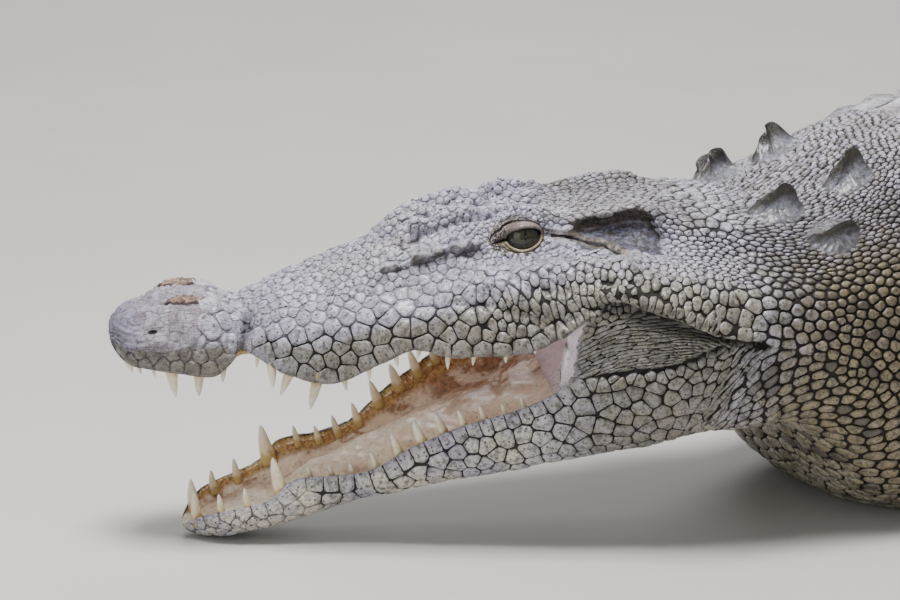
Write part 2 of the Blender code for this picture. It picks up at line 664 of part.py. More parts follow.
def foot_piece(name, leg, side, wrist, material):
    """Palm, toes, web and claws as one solid, flat on the floor."""
    ring, along = wrist
    middle = ring.mean(axis=0)
    heading = math.pi + side * math.radians(leg["turnout"])
    ahead = np.array((math.cos(heading), math.sin(heading), 0.0))
    cross = np.array((-ahead[1], ahead[0], 0.0))
    shell = Shell()
    start = [shell.add(p) for p in np.maximum(ring + along * GAP, (-9, -9, 0))]
    rows = [start]
    palm = leg["foot"]
    for share, wide, tall in ((.25, 1.0, 1.0), (.62, 1.25, .80), (1.0, 1.45, .55)):
        centre = middle + ahead * palm * share
        height = max(middle[2] * (1 - share) + .014 * share, .012)
        row = []
        for n in range(LEG_SIDES):
            angle = 2 * math.pi * (n + .5) / LEG_SIDES
            point = centre + cross * leg["wide"][-1] * wide * math.cos(angle) * handed(ring, middle, cross)
            point[2] = height + leg["tall"][-1] * tall * math.sin(angle)
            row.append(point)
        rows.append([shell.add(np.maximum(p, (-9, -9, 0.0))) for p in row])
    for first, second in zip(rows, rows[1:]):
        shell.strip(first, second, closed=True)
    for loop in (rows[0], rows[-1]):
        shell.fan(loop, shell.add(np.mean([shell.vertices[n] for n in loop], axis=0)))
    foot = new_object(name, shell.vertices, shell.faces, material)
    count = len(leg["toes"])
    for n, length in enumerate(leg["toes"]):
        fan = math.radians(leg["spread"]) * (n / (count - 1) - .5) * side * -1
        direction = ahead * math.cos(fan) + cross * math.sin(fan)
        root = middle + ahead * palm * .55 + cross * math.sin(fan) * leg["wide"][-1] * 1.1
        root[2] = .020
        end = root + direction * (palm * .45 + length)
        end[2] = .011
        toe = limb_piece(name + "_toe", toe_rings(root, end), material)
        boolean(foot, toe, "UNION")
        remove(toe)
        if n < leg["claws"]:
            shape = ([], [])
            cone(shape, end - direction * .012, end + direction * .030 - np.array((0, 0, .009)), .0085, 6)
            claw = new_object(name + "_claw", shape[0], shape[1], material)
            boolean(foot, claw, "UNION")
            remove(claw)
    return foot


def handed(ring, middle, cross):
    """Which way the ring's points run against the foot's cross direction."""
    return 1.0 if np.dot(ring[0] - middle, cross) > 0 else -1.0


def toe_rings(root, end):
    along = (end - root) / np.linalg.norm(end - root)
    level = np.cross(along, (0, 0, 1))
    level /= np.linalg.norm(level)
    rings = []
    for share, radius in ((0, .0145), (.35, .0150), (.7, .0125), (.95, .0105), (1.0, .0060)):
        middle = root * (1 - share) + end * share
        ring = []
        for n in range(TOE_SIDES):
            angle = 2 * math.pi / TOE_SIDES * n
            point = middle + level * radius * math.cos(angle)
            point[2] += radius * math.sin(angle)
            ring.append(point)
        rings.append((np.array(ring), along))
    return rings


def build_leg(name, leg, side, trunk_guide, hide):
    rings = limb_rings(leg, side)
    bend = LEG_STEPS.index(ELBOW)
    upper = limb_piece(name + "_upper", rings[:bend + 1], hide)
    boolean(upper, trunk_guide, "DIFFERENCE")
    limb_piece(name + "_lower", rings[bend:], hide, start_gap=GAP)
    foot_piece(name + "_foot", leg, side, rings[-1], hide)


def grown(name, start, end, count, amount, material):
    """The trunk and tail base as one guide, a little fatter than the real thing."""
    shell = body_shell(start, end, count)
    guide = new_object(name, shell.vertices, shell.faces, material)
    build = bmesh.new()
    build.from_mesh(guide.data)
    build.normal_update()
    for vertex in build.verts:
        vertex.co += vertex.normal * amount
    build.to_mesh(guide.data)
    build.free()
    return guide


def build_front(hide):
    """Part the front of the body into head, lower jaw and neck, and root the teeth."""
    shell = front_shell()
    split = (MOUTH_CORNER + .005, -.0005)
    back = (JAW_JOINT[0] + .030, .004)
    fore = (-.10, split[1] - (split[0] + .10) * math.tan(GAPE / 2))
    neck_top, neck_foot, far = (.72, .60), (.745, -.50), 1.6
    head_outline = [(fore[0], neck_top[1]), fore, split, back, neck_top]
    jaw_outline = [(fore[0], neck_foot[1]), neck_foot, (back[0], back[1] - GAP), (split[0], split[1] - GAP),
                   (fore[0], fore[1] - GAP)]
    neck_outline = [(neck_top[0] + GAP, neck_top[1]), (back[0] + GAP, back[1]),
                    (neck_foot[0] + GAP, neck_foot[1]), (far, neck_foot[1]), (far, neck_top[1])]
    front = new_object("front", shell.vertices, shell.faces, hide)
    pieces = {}
    for name, outline in (("head", head_outline), ("lower_jaw", jaw_outline)):
        piece = front.copy()
        piece.data = front.data.copy()
        piece.name = name
        bpy.context.scene.collection.objects.link(piece)
        block = prism(name + "_region", outline)
        boolean(piece, block, "INTERSECT")
        remove(block)
        pieces[name] = piece
    block = prism("neck_region", neck_outline)
    boolean(front, block, "INTERSECT")
    remove(block)
    front.name = "neck"
    front.data.name = "neck"
    for row, upper_row, owner in ((UPPER_TEETH, True, "head"), (LOWER_TEETH, False, "lower_jaw")):
        teeth = tooth_row("teeth", row, upper_row, hide)
        boolean(pieces[owner], teeth, "UNION")
        remove(teeth)
    return pieces["head"], front


def prism(name, outline):
    """A wide guide block with an outline of (distance, height) points in the head's frame."""
    half = 1.2
    low = [place_flat((s, half, z)) for s, z in outline]
    high = [place_flat((s, -half, z)) for s, z in outline]
    count = len(outline)
    faces = [list(range(count)), list(range(2 * count - 1, count - 1, -1))]
    for n in range(count):
        m = (n + 1) % count
        faces.append([n, count + n, count + m, m])
    block = new_object(name, low + high, faces, bpy.data.materials["guide"])
    block.hide_render = True
    block.display_type = "WIRE"
    return block


def build():
    for thing in list(bpy.data.objects):
        bpy.data.objects.remove(thing)
    hide = new_material("hide", COLOURS["hide"], .6)
    mouth = new_material("mouth", COLOURS["mouth"], .35)
    eye_material = new_material("eye", COLOURS["eye"], .1)
    guide = new_material("guide", (1, 0, 1), 1.0)
    head, neck = build_front(hide)
    for name, sign in (("eye_left", 1), ("eye_right", -1)):
        socket = eye("socket", sign, guide, grow=GAP)
        boolean(head, socket, "DIFFERENCE")
        remove(socket)
        eye(name, sign, eye_material)
    for number, (s, w, height) in enumerate(NUCHAL_SCUTES):
        scute = nuchal_scute("scute", s, w, height, hide)
        boolean(neck, scute, "UNION")
        remove(scute)
    tongue(mouth)
    for name, start, end, count in BODY_PARTS:
        shell = body_shell(start, end, count)
        piece = new_object(name, shell.vertices, shell.faces, hide)
        for side, low, high in ((-1, CREST_START, CREST_JOIN - .06), (1, CREST_START, CREST_JOIN - .06),
                                (0, CREST_JOIN + .03, CREST_END)):
            low, high = max(start, low), min(end, high)
            if high - low < CREST_PITCH * 2:
                continue
            strip = crest_strip("crest", low, high, side, hide)
            boolean(piece, strip, "UNION")
            remove(strip)
    trunk_guide = grown("trunk_guide", *BODY_PARTS[0][1:], 3 * GAP, guide)
    for name, leg, sign in (("foreleg_left", FORELEG, 1), ("foreleg_right", FORELEG, -1),
                            ("hindleg_left", HINDLEG, 1), ("hindleg_right", HINDLEG, -1)):
        build_leg(name, leg, sign, trunk_guide, hide)
    remove(trunk_guide)
    stand_on_origin()


def stand_on_origin():
    """Hang every piece on one empty, moved so that the whole stands centred on the origin."""
    pieces = [thing for thing in bpy.data.objects if thing.type == "MESH"]
    corners = np.array([vertex.co for thing in pieces for vertex in thing.data.vertices])
    low, high = corners.min(axis=0), corners.max(axis=0)
    frame = bpy.data.objects.new("crocodile", None)
    bpy.context.scene.collection.objects.link(frame)
    frame.location = (-(low[0] + high[0]) / 2, -(low[1] + high[1]) / 2, -low[2])
    for thing in pieces:
        thing.parent = frame


build()
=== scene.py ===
"""Looks of the saltwater crocodile: one skin, a coat of scales over it, eyes, teeth, claws and mouth.

The body is the same set of cross-sections as the CAD's, read finely. Folds, lids and lips are worked into
that surface, the skin is laid just inside it, and the coat of scales is raised on it in lengths.
"""

import json
import math

import bmesh
import bpy
import numpy as np
from mathutils import Matrix, Vector
from mathutils.kdtree import KDTree

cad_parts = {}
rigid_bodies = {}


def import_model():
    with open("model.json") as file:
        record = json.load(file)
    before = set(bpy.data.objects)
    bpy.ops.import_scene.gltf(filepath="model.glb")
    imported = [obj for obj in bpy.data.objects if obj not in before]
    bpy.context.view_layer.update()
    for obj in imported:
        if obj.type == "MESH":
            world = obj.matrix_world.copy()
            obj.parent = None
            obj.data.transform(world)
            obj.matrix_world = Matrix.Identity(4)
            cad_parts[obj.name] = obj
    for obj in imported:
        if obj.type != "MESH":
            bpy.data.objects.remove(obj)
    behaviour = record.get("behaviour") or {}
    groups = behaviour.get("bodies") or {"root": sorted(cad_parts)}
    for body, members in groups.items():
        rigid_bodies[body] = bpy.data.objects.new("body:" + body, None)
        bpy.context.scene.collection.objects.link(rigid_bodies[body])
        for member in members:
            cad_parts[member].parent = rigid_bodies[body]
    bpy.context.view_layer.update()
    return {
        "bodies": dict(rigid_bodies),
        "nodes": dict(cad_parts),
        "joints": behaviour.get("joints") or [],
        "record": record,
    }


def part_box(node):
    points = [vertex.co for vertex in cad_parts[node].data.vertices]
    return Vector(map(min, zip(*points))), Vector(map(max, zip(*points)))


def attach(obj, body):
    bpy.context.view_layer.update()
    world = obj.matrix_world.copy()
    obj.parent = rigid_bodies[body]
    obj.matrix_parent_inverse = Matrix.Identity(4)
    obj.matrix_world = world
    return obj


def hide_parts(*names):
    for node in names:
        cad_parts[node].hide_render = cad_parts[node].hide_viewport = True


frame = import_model()

# ---------------------------------------------------------------- body plan, as in the CAD
TOTAL_LENGTH = 4.6
JAW_JOINT = (0.655, 0.020)
GAPE = math.radians(19.0)
MOUTH_CORNER = 0.51
CORNER_LEAD = 0.030
HEAD_PITCH = math.radians(5.0)
HEAD_ROLL = math.radians(5.5)
HEAD_TURN = -28.0
SNOUT_HEIGHT = 0.233
FLOOR_PRESS = 0.006
NOSE_ROUND = 0.024
CHIN_ROUND = 0.045
CHIN_SETBACK = 0.014
EYE_AT = (0.481, 0.0575, 0.101)
EYE_RADIUS = 0.0225

TOP_Z = ((0, .052), (.035, .056), (.075, .066), (.115, .062), (.15, .043), (.185, .054), (.23, .068),
         (.28, .081), (.33, .093), (.38, .106), (.43, .114), (.48, .112), (.53, .112), (.66, .112))
CREST_W = ((0, .012), (.075, .020), (.15, .018), (.3, .022), (.4, .026), (.48, .028), (.6, .034),
           (.66, .036))
CREST_Z = ((0, .050), (.035, .054), (.075, .066), (.115, .062), (.15, .044), (.185, .056), (.23, .071),
           (.28, .085), (.33, .101), (.36, .120), (.41, .130), (.465, .130), (.49, .122), (.53, .114),
           (.66, .112))
RIDGE_W = ((0, .022), (.04, .034), (.075, .042), (.115, .044), (.15, .038), (.2, .045), (.3, .052),
           (.38, .055), (.43, .052), (.49, .050), (.53, .056), (.6, .063), (.64, .062), (.66, .070))
RIDGE_Z = ((0, .043), (.04, .050), (.075, .060), (.115, .056), (.15, .038), (.2, .051), (.25, .063),
           (.3, .076), (.38, .100), (.43, .112), (.465, .127), (.49, .130), (.53, .119), (.6, .115),
           (.64, .113), (.66, .105))
UNDER_W = ((0, .030), (.04, .048), (.075, .058), (.115, .060), (.15, .052), (.2, .066), (.3, .078),
           (.43, .078), (.48, .084), (.53, .074), (.58, .074), (.64, .080), (.66, .090))
UNDER_Z = ((0, .034), (.04, .037), (.075, .042), (.115, .039), (.15, .029), (.2, .038), (.3, .058),
           (.38, .076), (.43, .086), (.48, .088), (.53, .090), (.58, .086), (.64, .080), (.66, .082))
SIDE_W = ((0, .034), (.04, .055), (.075, .064), (.115, .068), (.15, .058), (.2, .082), (.24, .094),
          (.3, .106), (.38, .120), (.43, .126), (.48, .130), (.53, .140), (.575, .152), (.62, .162),
          (.66, .166))
SIDE_Z = ((0, .018), (.075, .020), (.15, .016), (.2, .014), (.24, .016), (.3, .030), (.38, .042),
          (.43, .052), (.48, .060), (.53, .068), (.575, .073), (.62, .067), (.66, .060))
LIP_W = ((0, .030), (.03, .045), (.07, .062), (.11, .070), (.15, .060), (.19, .084), (.24, .100),
         (.3, .115), (.34, .125), (.38, .135), (.45, .150), (.5, .160), (.53, .165), (.575, .176),
         (.62, .186), (.66, .190))
LIP_Z = ((0, -.002), (.03, -.007), (.07, -.013), (.11, -.019), (.15, .002), (.19, -.020), (.24, -.034),
         (.3, -.011), (.34, .004), (.38, -.007), (.45, -.007), (.5, .010), (.53, .029), (.575, .050),
         (.62, .042), (.66, .022))
GUM_W = ((0, .024), (.03, .038), (.07, .052), (.11, .060), (.15, .064), (.19, .068), (.24, .080),
         (.3, .098), (.38, .120), (.45, .137), (.5, .148), (.53, .156), (.575, .168), (.62, .180),
         (.66, .186))
GUM_Z = ((0, -.008), (.03, -.006), (.11, -.014), (.15, -.002), (.2, -.016), (.24, -.024), (.3, -.012),
         (.38, -.006), (.45, -.008), (.5, -.004), (.53, .002), (.575, .002), (.62, -.008), (.66, -.022))
JAW_W = ((0, .026), (.04, .044), (.1, .062), (.15, .067), (.2, .074), (.3, .104), (.38, .126), (.45, .142),
         (.53, .158), (.6, .176), (.66, .186))
JAW_Z = ((0, -.022), (.1, -.030), (.2, -.036), (.3, -.038), (.4, -.044), (.5, -.050), (.6, -.062),
         (.66, -.076))
KEEL_W = ((0, .018), (.04, .032), (.1, .046), (.2, .056), (.3, .084), (.4, .110), (.5, .130), (.6, .145),
          (.66, .155))
KEEL_Z = ((0, -.036), (.1, -.050), (.2, -.060), (.3, -.070), (.4, -.084), (.5, -.098), (.6, -.122),
          (.66, -.140))
THROAT_Z = ((0, -.040), (.1, -.055), (.3, -.075), (.5, -.105), (.6, -.135), (.66, -.158))
PALATE_Z = ((0, .006), (.1, .004), (.2, .004), (.3, .014), (.45, .022), (.53, .026))
FLOOR_Z = ((0, -.016), (.1, -.030), (.2, -.042), (.3, -.046), (.45, -.056), (.53, -.056))

BODY_W = ((.60, .186), (.70, .194), (.76, .200), (.85, .212), (.95, .232), (1.05, .258), (1.3, .308),
          (1.65, .342), (1.95, .326), (2.15, .286), (2.35, .226), (2.6, .172), (3.0, .128), (3.4, .096),
          (3.8, .068), (4.2, .042), (4.45, .025), (4.6, .006))
BACK_HEIGHT = ((.60, .384), (.66, .386), (.72, .391), (.80, .408), (.90, .438), (1.05, .460), (1.4, .458),
               (1.9, .438), (2.2, .408), (2.45, .375), (2.8, .315), (3.2, .262), (3.6, .222), (4.0, .180),
               (4.3, .135), (4.5, .085), (4.6, .030))
AXIS_HEIGHT = ((.0, .233), (.62, .287), (.70, .291), (.78, .284), (.90, .255), (1.05, .225), (1.9, .215),
               (2.2, .200), (2.45, .175), (2.8, .145), (3.2, .120), (3.6, .098), (4.0, .078), (4.3, .058),
               (4.5, .038), (4.6, .014))
BELLY_DEPTH = ((.60, .135), (.66, .156), (.72, .182), (.80, .232), (.90, .257), (.98, .247))
HEADING = ((.62, HEAD_TURN), (.92, 0.0), (2.3, 0.0), (2.8, 12.0), (3.4, 28.0), (3.9, 22.0), (4.6, -22.0))
RING_ANGLES = (0, 17, 37, 57, 76, 92, 108, 124, 143, 162, 180)
UPPER_LIP = 5
LOWER_LIP = 6
LAST_PLACE = 10
BODY_START = 0.98
MIRROR = np.array((1.0, -1.0, 1.0))
UPWARD = np.array((0.0, 0.0, 1.0))
HEAD_LINES = ((CREST_W, CREST_Z), (RIDGE_W, RIDGE_Z), (UNDER_W, UNDER_Z), (SIDE_W, SIDE_Z), (LIP_W, LIP_Z),
              (GUM_W, GUM_Z), (JAW_W, JAW_Z), (KEEL_W, KEEL_Z))

UPPER_TEETH = ((.012, .019), (.024, .013), (.040, .014), (.062, .033), (.094, .028), (.124, .018),
               (.166, .014), (.178, .027), (.200, .028), (.229, .032), (.256, .016), (.285, .016),
               (.315, .016), (.345, .016), (.375, .016), (.405, .014), (.440, .013), (.475, .010))
LOWER_TEETH = ((.020, .030), (.050, .020), (.082, .020), (.128, .040), (.170, .016), (.195, .016),
               (.220, .018), (.250, .021), (.282, .026), (.312, .030), (.342, .026), (.372, .020),
               (.402, .017), (.432, .014), (.460, .011))

# ---------------------------------------------------------------- fineness
COARSE = 1.0


def smooth(low, high, x):
    """A soft step from 0 at low to 1 at high."""
    x = np.clip((np.asarray(x, float) - low) / (high - low), 0.0, 1.0)
    return x * x * (3.0 - 2.0 * x)


def bell(x, middle, width):
    """A soft hump of height 1 round a middle."""
    return np.exp(-((np.asarray(x, float) - middle) / width) ** 2)


def between(x, low, high, soft):
    """1 between low and high, fading over a soft margin outside each."""
    return smooth(low - soft, low, x) * (1 - smooth(high, high + soft, x))


def stack(*parts):
    """Numbers or arrays side by side, as the last axis of one array."""
    return np.stack(np.broadcast_arrays(*parts), -1)


def unit(vector):
    return vector / np.linalg.norm(vector, axis=-1, keepdims=True)


def mix(first, second, share):
    return first * (1 - share) + second * share


def curve(points, x):
    """Read a smooth curve through the points, without overshoot."""
    xs, ys = (np.array(column, float) for column in zip(*points))
    x = np.clip(np.asarray(x, float), xs[0], xs[-1])
    steps = np.diff(xs)
    slopes = np.diff(ys) / steps
    tangents = np.zeros_like(ys)
    same = slopes[1:] * slopes[:-1] > 0
    before = 2 * steps[1:] + steps[:-1]
    after = steps[1:] + 2 * steps[:-1]
    with np.errstate(divide="ignore", invalid="ignore"):
        inner = (before + after) / (before / slopes[:-1] + after / slopes[1:])
    tangents[1:-1] = np.where(same, inner, 0.0)
    tangents[0] = slopes[0]
    tangents[-1] = slopes[-1]
    i = np.clip(np.searchsorted(xs, x, side="right") - 1, 0, len(xs) - 2)
    t = (x - xs[i]) / steps[i]
    rise = ys[i + 1] - ys[i]
    start = tangents[i] * steps[i]
    end = tangents[i + 1] * steps[i]
    return ys[i] + t * start + t * t * (3 * rise - 2 * start - end) + t ** 3 * (start + end - 2 * rise)


def head_controls(s):
    """Half-ring control points of the closed head: (distance, side, height) for each ring."""
    belly = curve(THROAT_Z, s)
    pairs = [(0 * s, curve(TOP_Z, s))] + [(curve(wide, s), curve(high, s)) for wide, high in HEAD_LINES]
    keel_w, keel_z = pairs[-1]
    pairs += [(keel_w * .5, (keel_z + belly * 2) / 3), (0 * s, belly)]
    points = np.array([[s, w, z] for w, z in pairs]).transpose(2, 0, 1)
    for first, last, setback, reach, middle in ((0, 6, 0.0, NOSE_ROUND, .022),
                                                (6, 11, CHIN_SETBACK, CHIN_ROUND, -.024)):
        t = np.clip(s / reach, 0.0, 1.0)
        fullness = np.sqrt(1.0 - (1.0 - t) ** 2)[:, None]
        block = points[:, first:last]
        block[..., 1] *= fullness
        block[..., 2] = middle + (block[..., 2] - middle) * fullness
        block[..., 0] += (setback * (1.0 - smooth(0, .3, s)))[:, None]
    return points


def body_controls(s):
    """Half-ring control points of neck, trunk and tail, from the outline's width, back and belly."""
    width = curve(BODY_W, s)
    axis = curve(AXIS_HEIGHT, s)
    top = curve(BACK_HEIGHT, s) - axis
    bottom = np.where(s < BODY_START, -curve(BELLY_DEPTH, s), -axis - FLOOR_PRESS * smooth(.9, 1.05, s))
    tail = smooth(2.2, 2.7, s)
    middle = -.012 * (1 - tail) + bottom * .25 * tail
    up_power = .92 + .06 * tail
    down_power = .66 + .20 * tail
    points = []
    for angle in RING_ANGLES:
        across, along = math.sin(math.radians(angle)), math.cos(math.radians(angle))
        end, power = (top, up_power) if along >= 0 else (bottom, down_power)
        points.append([s, width * across ** power, middle + (end - middle) * abs(along) ** power])
    points = np.array(points).transpose(2, 0, 1)
    points[:, [0, -1], 1] = 0.0
    return points


def open_jaw(points, weight):
    """Swing points about the jaw joint by the gape times their weight."""
    angle = GAPE * weight
    back = points[..., 0] - JAW_JOINT[0]
    up = points[..., 2] - JAW_JOINT[1]
    out = points.copy()
    out[..., 0] = JAW_JOINT[0] + back * np.cos(angle) - up * np.sin(angle)
    out[..., 2] = JAW_JOINT[1] + back * np.sin(angle) + up * np.cos(angle)
    return out


def jaw_weight(s):
    return 1.0 - smooth(.62, .86, s)


def controls(s):
    """Control points of the open-mouthed animal."""
    blend = smooth(.62, .80, s)[:, None, None]
    points = head_controls(s) * (1 - blend) + body_controls(s) * blend
    lead = CORNER_LEAD * smooth(.30, .52, s) * (1 - smooth(.55, .66, s))
    points[:, LOWER_LIP:, 0] -= lead[:, None]
    weight = np.zeros(points.shape[:2])
    weight[:, LOWER_LIP:] = jaw_weight(s)[:, None]
    return open_jaw(points, weight)


def ring_point(points, s, c):
    """A point of the ring at place c, on a smooth curve through the control points."""
    i = min(int(c), len(RING_ANGLES) - 2)
    t = c - i
    joined = smooth(MOUTH_CORNER, MOUTH_CORNER + .06, s)[:, None]
    here, there = points[:, i], points[:, i + 1]
    before = points[:, 1] * MIRROR if i == 0 else points[:, i - 1]
    after = points[:, -2] * MIRROR if i == len(RING_ANGLES) - 2 else points[:, i + 2]
    if i == LOWER_LIP:
        before = mix(2 * here - there, before, joined)
    if i == UPPER_LIP - 1:
        after = mix(2 * there - here, after, joined)
    if i == UPPER_LIP:
        before = mix(here, before, joined)
        after = mix(there, after, joined)
    m0 = (there - before) / 2
    m1 = (after - here) / 2
    way = there - here
    out = here + m0 * t + (3 * way - 2 * m0 - m1) * t * t + (m0 + m1 - 2 * way) * t ** 3
    if i == UPPER_LIP:
        out[:, 1] -= .016 * math.sin(math.pi * t) * (1 - smooth(.56, .72, s))
    return out


SPINE_STEPS = np.linspace(0, TOTAL_LENGTH, 2301)
SPINE_TURNS = np.radians(curve(HEADING, SPINE_STEPS))
SPINE_MIDDLES = (SPINE_TURNS[1:] + SPINE_TURNS[:-1]) / 2
SPINE_X = np.concatenate(([0], np.cumsum(np.cos(SPINE_MIDDLES) * np.diff(SPINE_STEPS))))
SPINE_Y = np.concatenate(([0], np.cumsum(np.sin(SPINE_MIDDLES) * np.diff(SPINE_STEPS))))


def spine(s):
    """The centre line and the side and up directions at distance s along the body."""
    s = np.asarray(s, float)
    turn = np.radians(curve(HEADING, s))
    fade = 1 - smooth(.62, .95, s)
    pitch, roll = (HEAD_PITCH * fade)[..., None], (HEAD_ROLL * fade)[..., None]
    height = np.where(s < .60, SNOUT_HEIGHT + math.sin(HEAD_PITCH) * s, curve(AXIS_HEIGHT, s))
    centre = stack(np.interp(s, SPINE_STEPS, SPINE_X), np.interp(s, SPINE_STEPS, SPINE_Y), height)
    side = stack(np.sin(turn), -np.cos(turn), 0.0)
    up = UPWARD * np.cos(pitch) - stack(np.cos(turn), np.sin(turn), 0.0) * np.sin(pitch)
    return centre, side * np.cos(roll) - up * np.sin(roll), up * np.cos(roll) + side * np.sin(roll)


def place_freely(points):
    """Lay (distance, side, height) points along the spine."""
    centre, side, up = spine(points[..., 0])
    return centre + side * points[..., 1:2] + up * points[..., 2:3]


def trunk_corner():
    """Where the CAD's trunk ends, in body-plan coordinates, to find the frame's own origin."""
    s = np.linspace(.98, 2.38, 12)
    points = controls(s)
    left = np.stack([ring_point(points, s, c) for c in (0, 1, 2, 2.5, 3.2, 4, 5, 5.5, 6, 7, 8, 9, 10)], 1)
    both = np.concatenate([place_freely(left), place_freely(left * MIRROR)])
    return both.reshape(-1, 3).max(axis=0)


TRUNK_HIGH = np.array(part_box("trunk")[1])
ORIGIN = np.array((*(TRUNK_HIGH - trunk_corner())[:2], 0.0))


def place(points):
    """Lay points along the spine in the frame, and flatten what presses on the floor."""
    out = place_freely(points) + ORIGIN
    out[..., 2] = np.maximum(out[..., 2], 0.0)
    return out


# ---------------------------------------------------------------- noise and mesh helpers
NOISE_SIZE = 32
NOISE_TABLE = np.random.default_rng(7).uniform(-1, 1, (NOISE_SIZE,) * 3)


def lumps(points, size, shift=0.0):
    """Smooth random heights between -1 and 1 over space, about one lump to each size."""
    q = np.asarray(points) / size + shift
    base = np.floor(q).astype(int)
    t = q - base
    t = t * t * (3 - 2 * t)
    total = 0.0
    for x in (0, 1):
        for y in (0, 1):
            for z in (0, 1):
                weight = np.abs(1 - x - t[..., 0]) * np.abs(1 - y - t[..., 1]) * np.abs(1 - z - t[..., 2])
                total = total + weight * NOISE_TABLE[tuple(
                    (base[..., axis] + shift_by) % NOISE_SIZE for axis, shift_by in enumerate((x, y, z)))]
    return total


class Patch:
    """Collects vertices, faces and painted values of one mesh."""

    def __init__(self):
        self.points, self.faces, self.slots, self.count = [], [], [], 0
        self.values = {"plan": [], "tone": [], "marks": [], "own": []}
        self.loose_uv = []

    def add(self, points, faces, slot=0, plan=None, tone=None, marks=None, own=None, uv=None):
        """Append a block; plan, tone, marks and own are three numbers to each vertex."""
        points = np.asarray(points, float).reshape(-1, 3)
        zero = np.zeros_like(points)
        self.points.append(points)
        self.faces.extend((np.asarray(f) + self.count).tolist() for f in faces)
        self.slots.append(np.full(sum(len(f) for f in faces), slot))
        for key, value in (("plan", plan), ("tone", tone), ("marks", marks), ("own", own)):
            self.values[key].append(zero if value is None else np.asarray(value, float).reshape(-1, 3))
        self.loose_uv.append(zero[:, :2] if uv is None else np.asarray(uv, float).reshape(-1, 2))
        self.count += len(points)

    def build(self, name, materials, merge=0.0, uv=False):
        """Turn what was collected into one object."""
        mesh = bpy.data.meshes.new(name)
        points = np.concatenate(self.points)
        faces = [face for block in self.faces for face in block]
        mesh.from_pydata(points.tolist(), [], faces)
        for key, blocks in self.values.items():
            layer = mesh.attributes.new(key, "FLOAT_VECTOR", "POINT")
            layer.data.foreach_set("vector", np.concatenate(blocks).ravel())
        plan = np.concatenate(self.values["plan"])
        layer = mesh.attributes.new("lines", "FLOAT_VECTOR", "POINT")
        layer.data.foreach_set("vector", feature_lines(plan[:, 0], plan[:, 1]).ravel())
        mesh.polygons.foreach_set("material_index", np.concatenate(self.slots))
        for material in materials:
            mesh.materials.append(material)
        if uv:
            corners = np.zeros(len(mesh.loops), int)
            mesh.loops.foreach_get("vertex_index", corners)
            layer = mesh.uv_layers.new(name="OFBake")
            layer.data.foreach_set("uv", np.concatenate(self.loose_uv)[corners].ravel())
        if merge:
            work = bmesh.new()
            work.from_mesh(mesh)
            bmesh.ops.delete(work, geom=[v for v in work.verts if not v.link_faces], context="VERTS")
            bmesh.ops.remove_doubles(work, verts=work.verts, dist=merge)
            bmesh.ops.recalc_face_normals(work, faces=work.faces)
            work.to_mesh(mesh)
            work.free()
        mesh.shade_smooth()
        mesh.update()
        thing = bpy.data.objects.new(name, mesh)
        bpy.context.scene.collection.objects.link(thing)
        return thing


def grid_faces(rows, columns, flip=False, closed=False):
    """Quads of a grid of rows by columns, numbered row by row."""
    i, j = np.meshgrid(np.arange(rows - 1), np.arange(columns if closed else columns - 1), indexing="ij")
    after = (j + 1) % columns
    low, high = i * columns, (i + 1) * columns
    quads = stack(low + j, low + after, high + after, high + j).reshape(-1, 4)
    return quads[:, ::-1] if flip else quads


# ---------------------------------------------------------------- relief worked into the body's surface
RIDGE_LINE = ((.28, 2.02), (.315, 2.12), (.35, 2.22), (.39, 2.30), (.43, 2.52), (.45, 2.60))
TABLE_RIM = ((.50, 2.30), (.53, 2.34), (.57, 2.12), (.615, 2.00), (.632, 2.35), (.640, 2.80))
EAR_LINE = ((.508, 2.66), (.53, 2.76), (.555, 2.98), (.58, 3.26), (.60, 3.55))
CHEEK_CREASE = ((.39, 3.80), (.43, 4.05), (.47, 4.42), (.51, 4.72), (.54, 4.78), (.565, 5.02),
                (.595, 5.24), (.645, 5.47), (.70, 5.60))
MANDIBLE_FOLD = ((.545, 6.0), (.58, 6.15), (.618, 6.25), (.645, 6.0), (.670, 5.62))
CHEEK_HOLLOW = ((.47, 3.95), (.50, 4.12), (.53, 4.20), (.57, 4.22), (.60, 4.20))
RIDGE_BARS = (.327, .367, .409)


def along_line(line, s, c, width):
    """How near a point lies to a line drawn on the body plan, 1 on the line."""
    return bell(c, curve(line, s), width)


NECK_LINE = ((0, .690), (3, .690), (4.5, .684), (5.6, .672), (7.75, .612), (10, .560))


def neck_share(s, c):
    """0 on the head and jaws, 1 on the neck behind them."""
    return smooth(.0, .045, s - curve(NECK_LINE, np.abs(c)))


FAR = 9.0
FEATURE_SPANS = ((EAR_LINE, .512, .597), (TABLE_RIM, .532, .636), (CHEEK_CREASE, .545, .70))


def feature_lines(s, c):
    """How far places lie below the ear slit, the skull table's rim and the cheek crease, 9 where none is."""
    return np.clip(stack(*(np.where((s > start) & (s < end), c - curve(line, s), FAR)
                           for line, start, end in FEATURE_SPANS)), -FAR, FAR)


NOTCH_AT = .153


def pad_edge(c):
    """Where the smooth pad of the snout's tip ends, at places round it."""
    return .117 - .011 * np.clip(c - 2.2, 0, 3) ** 1.5


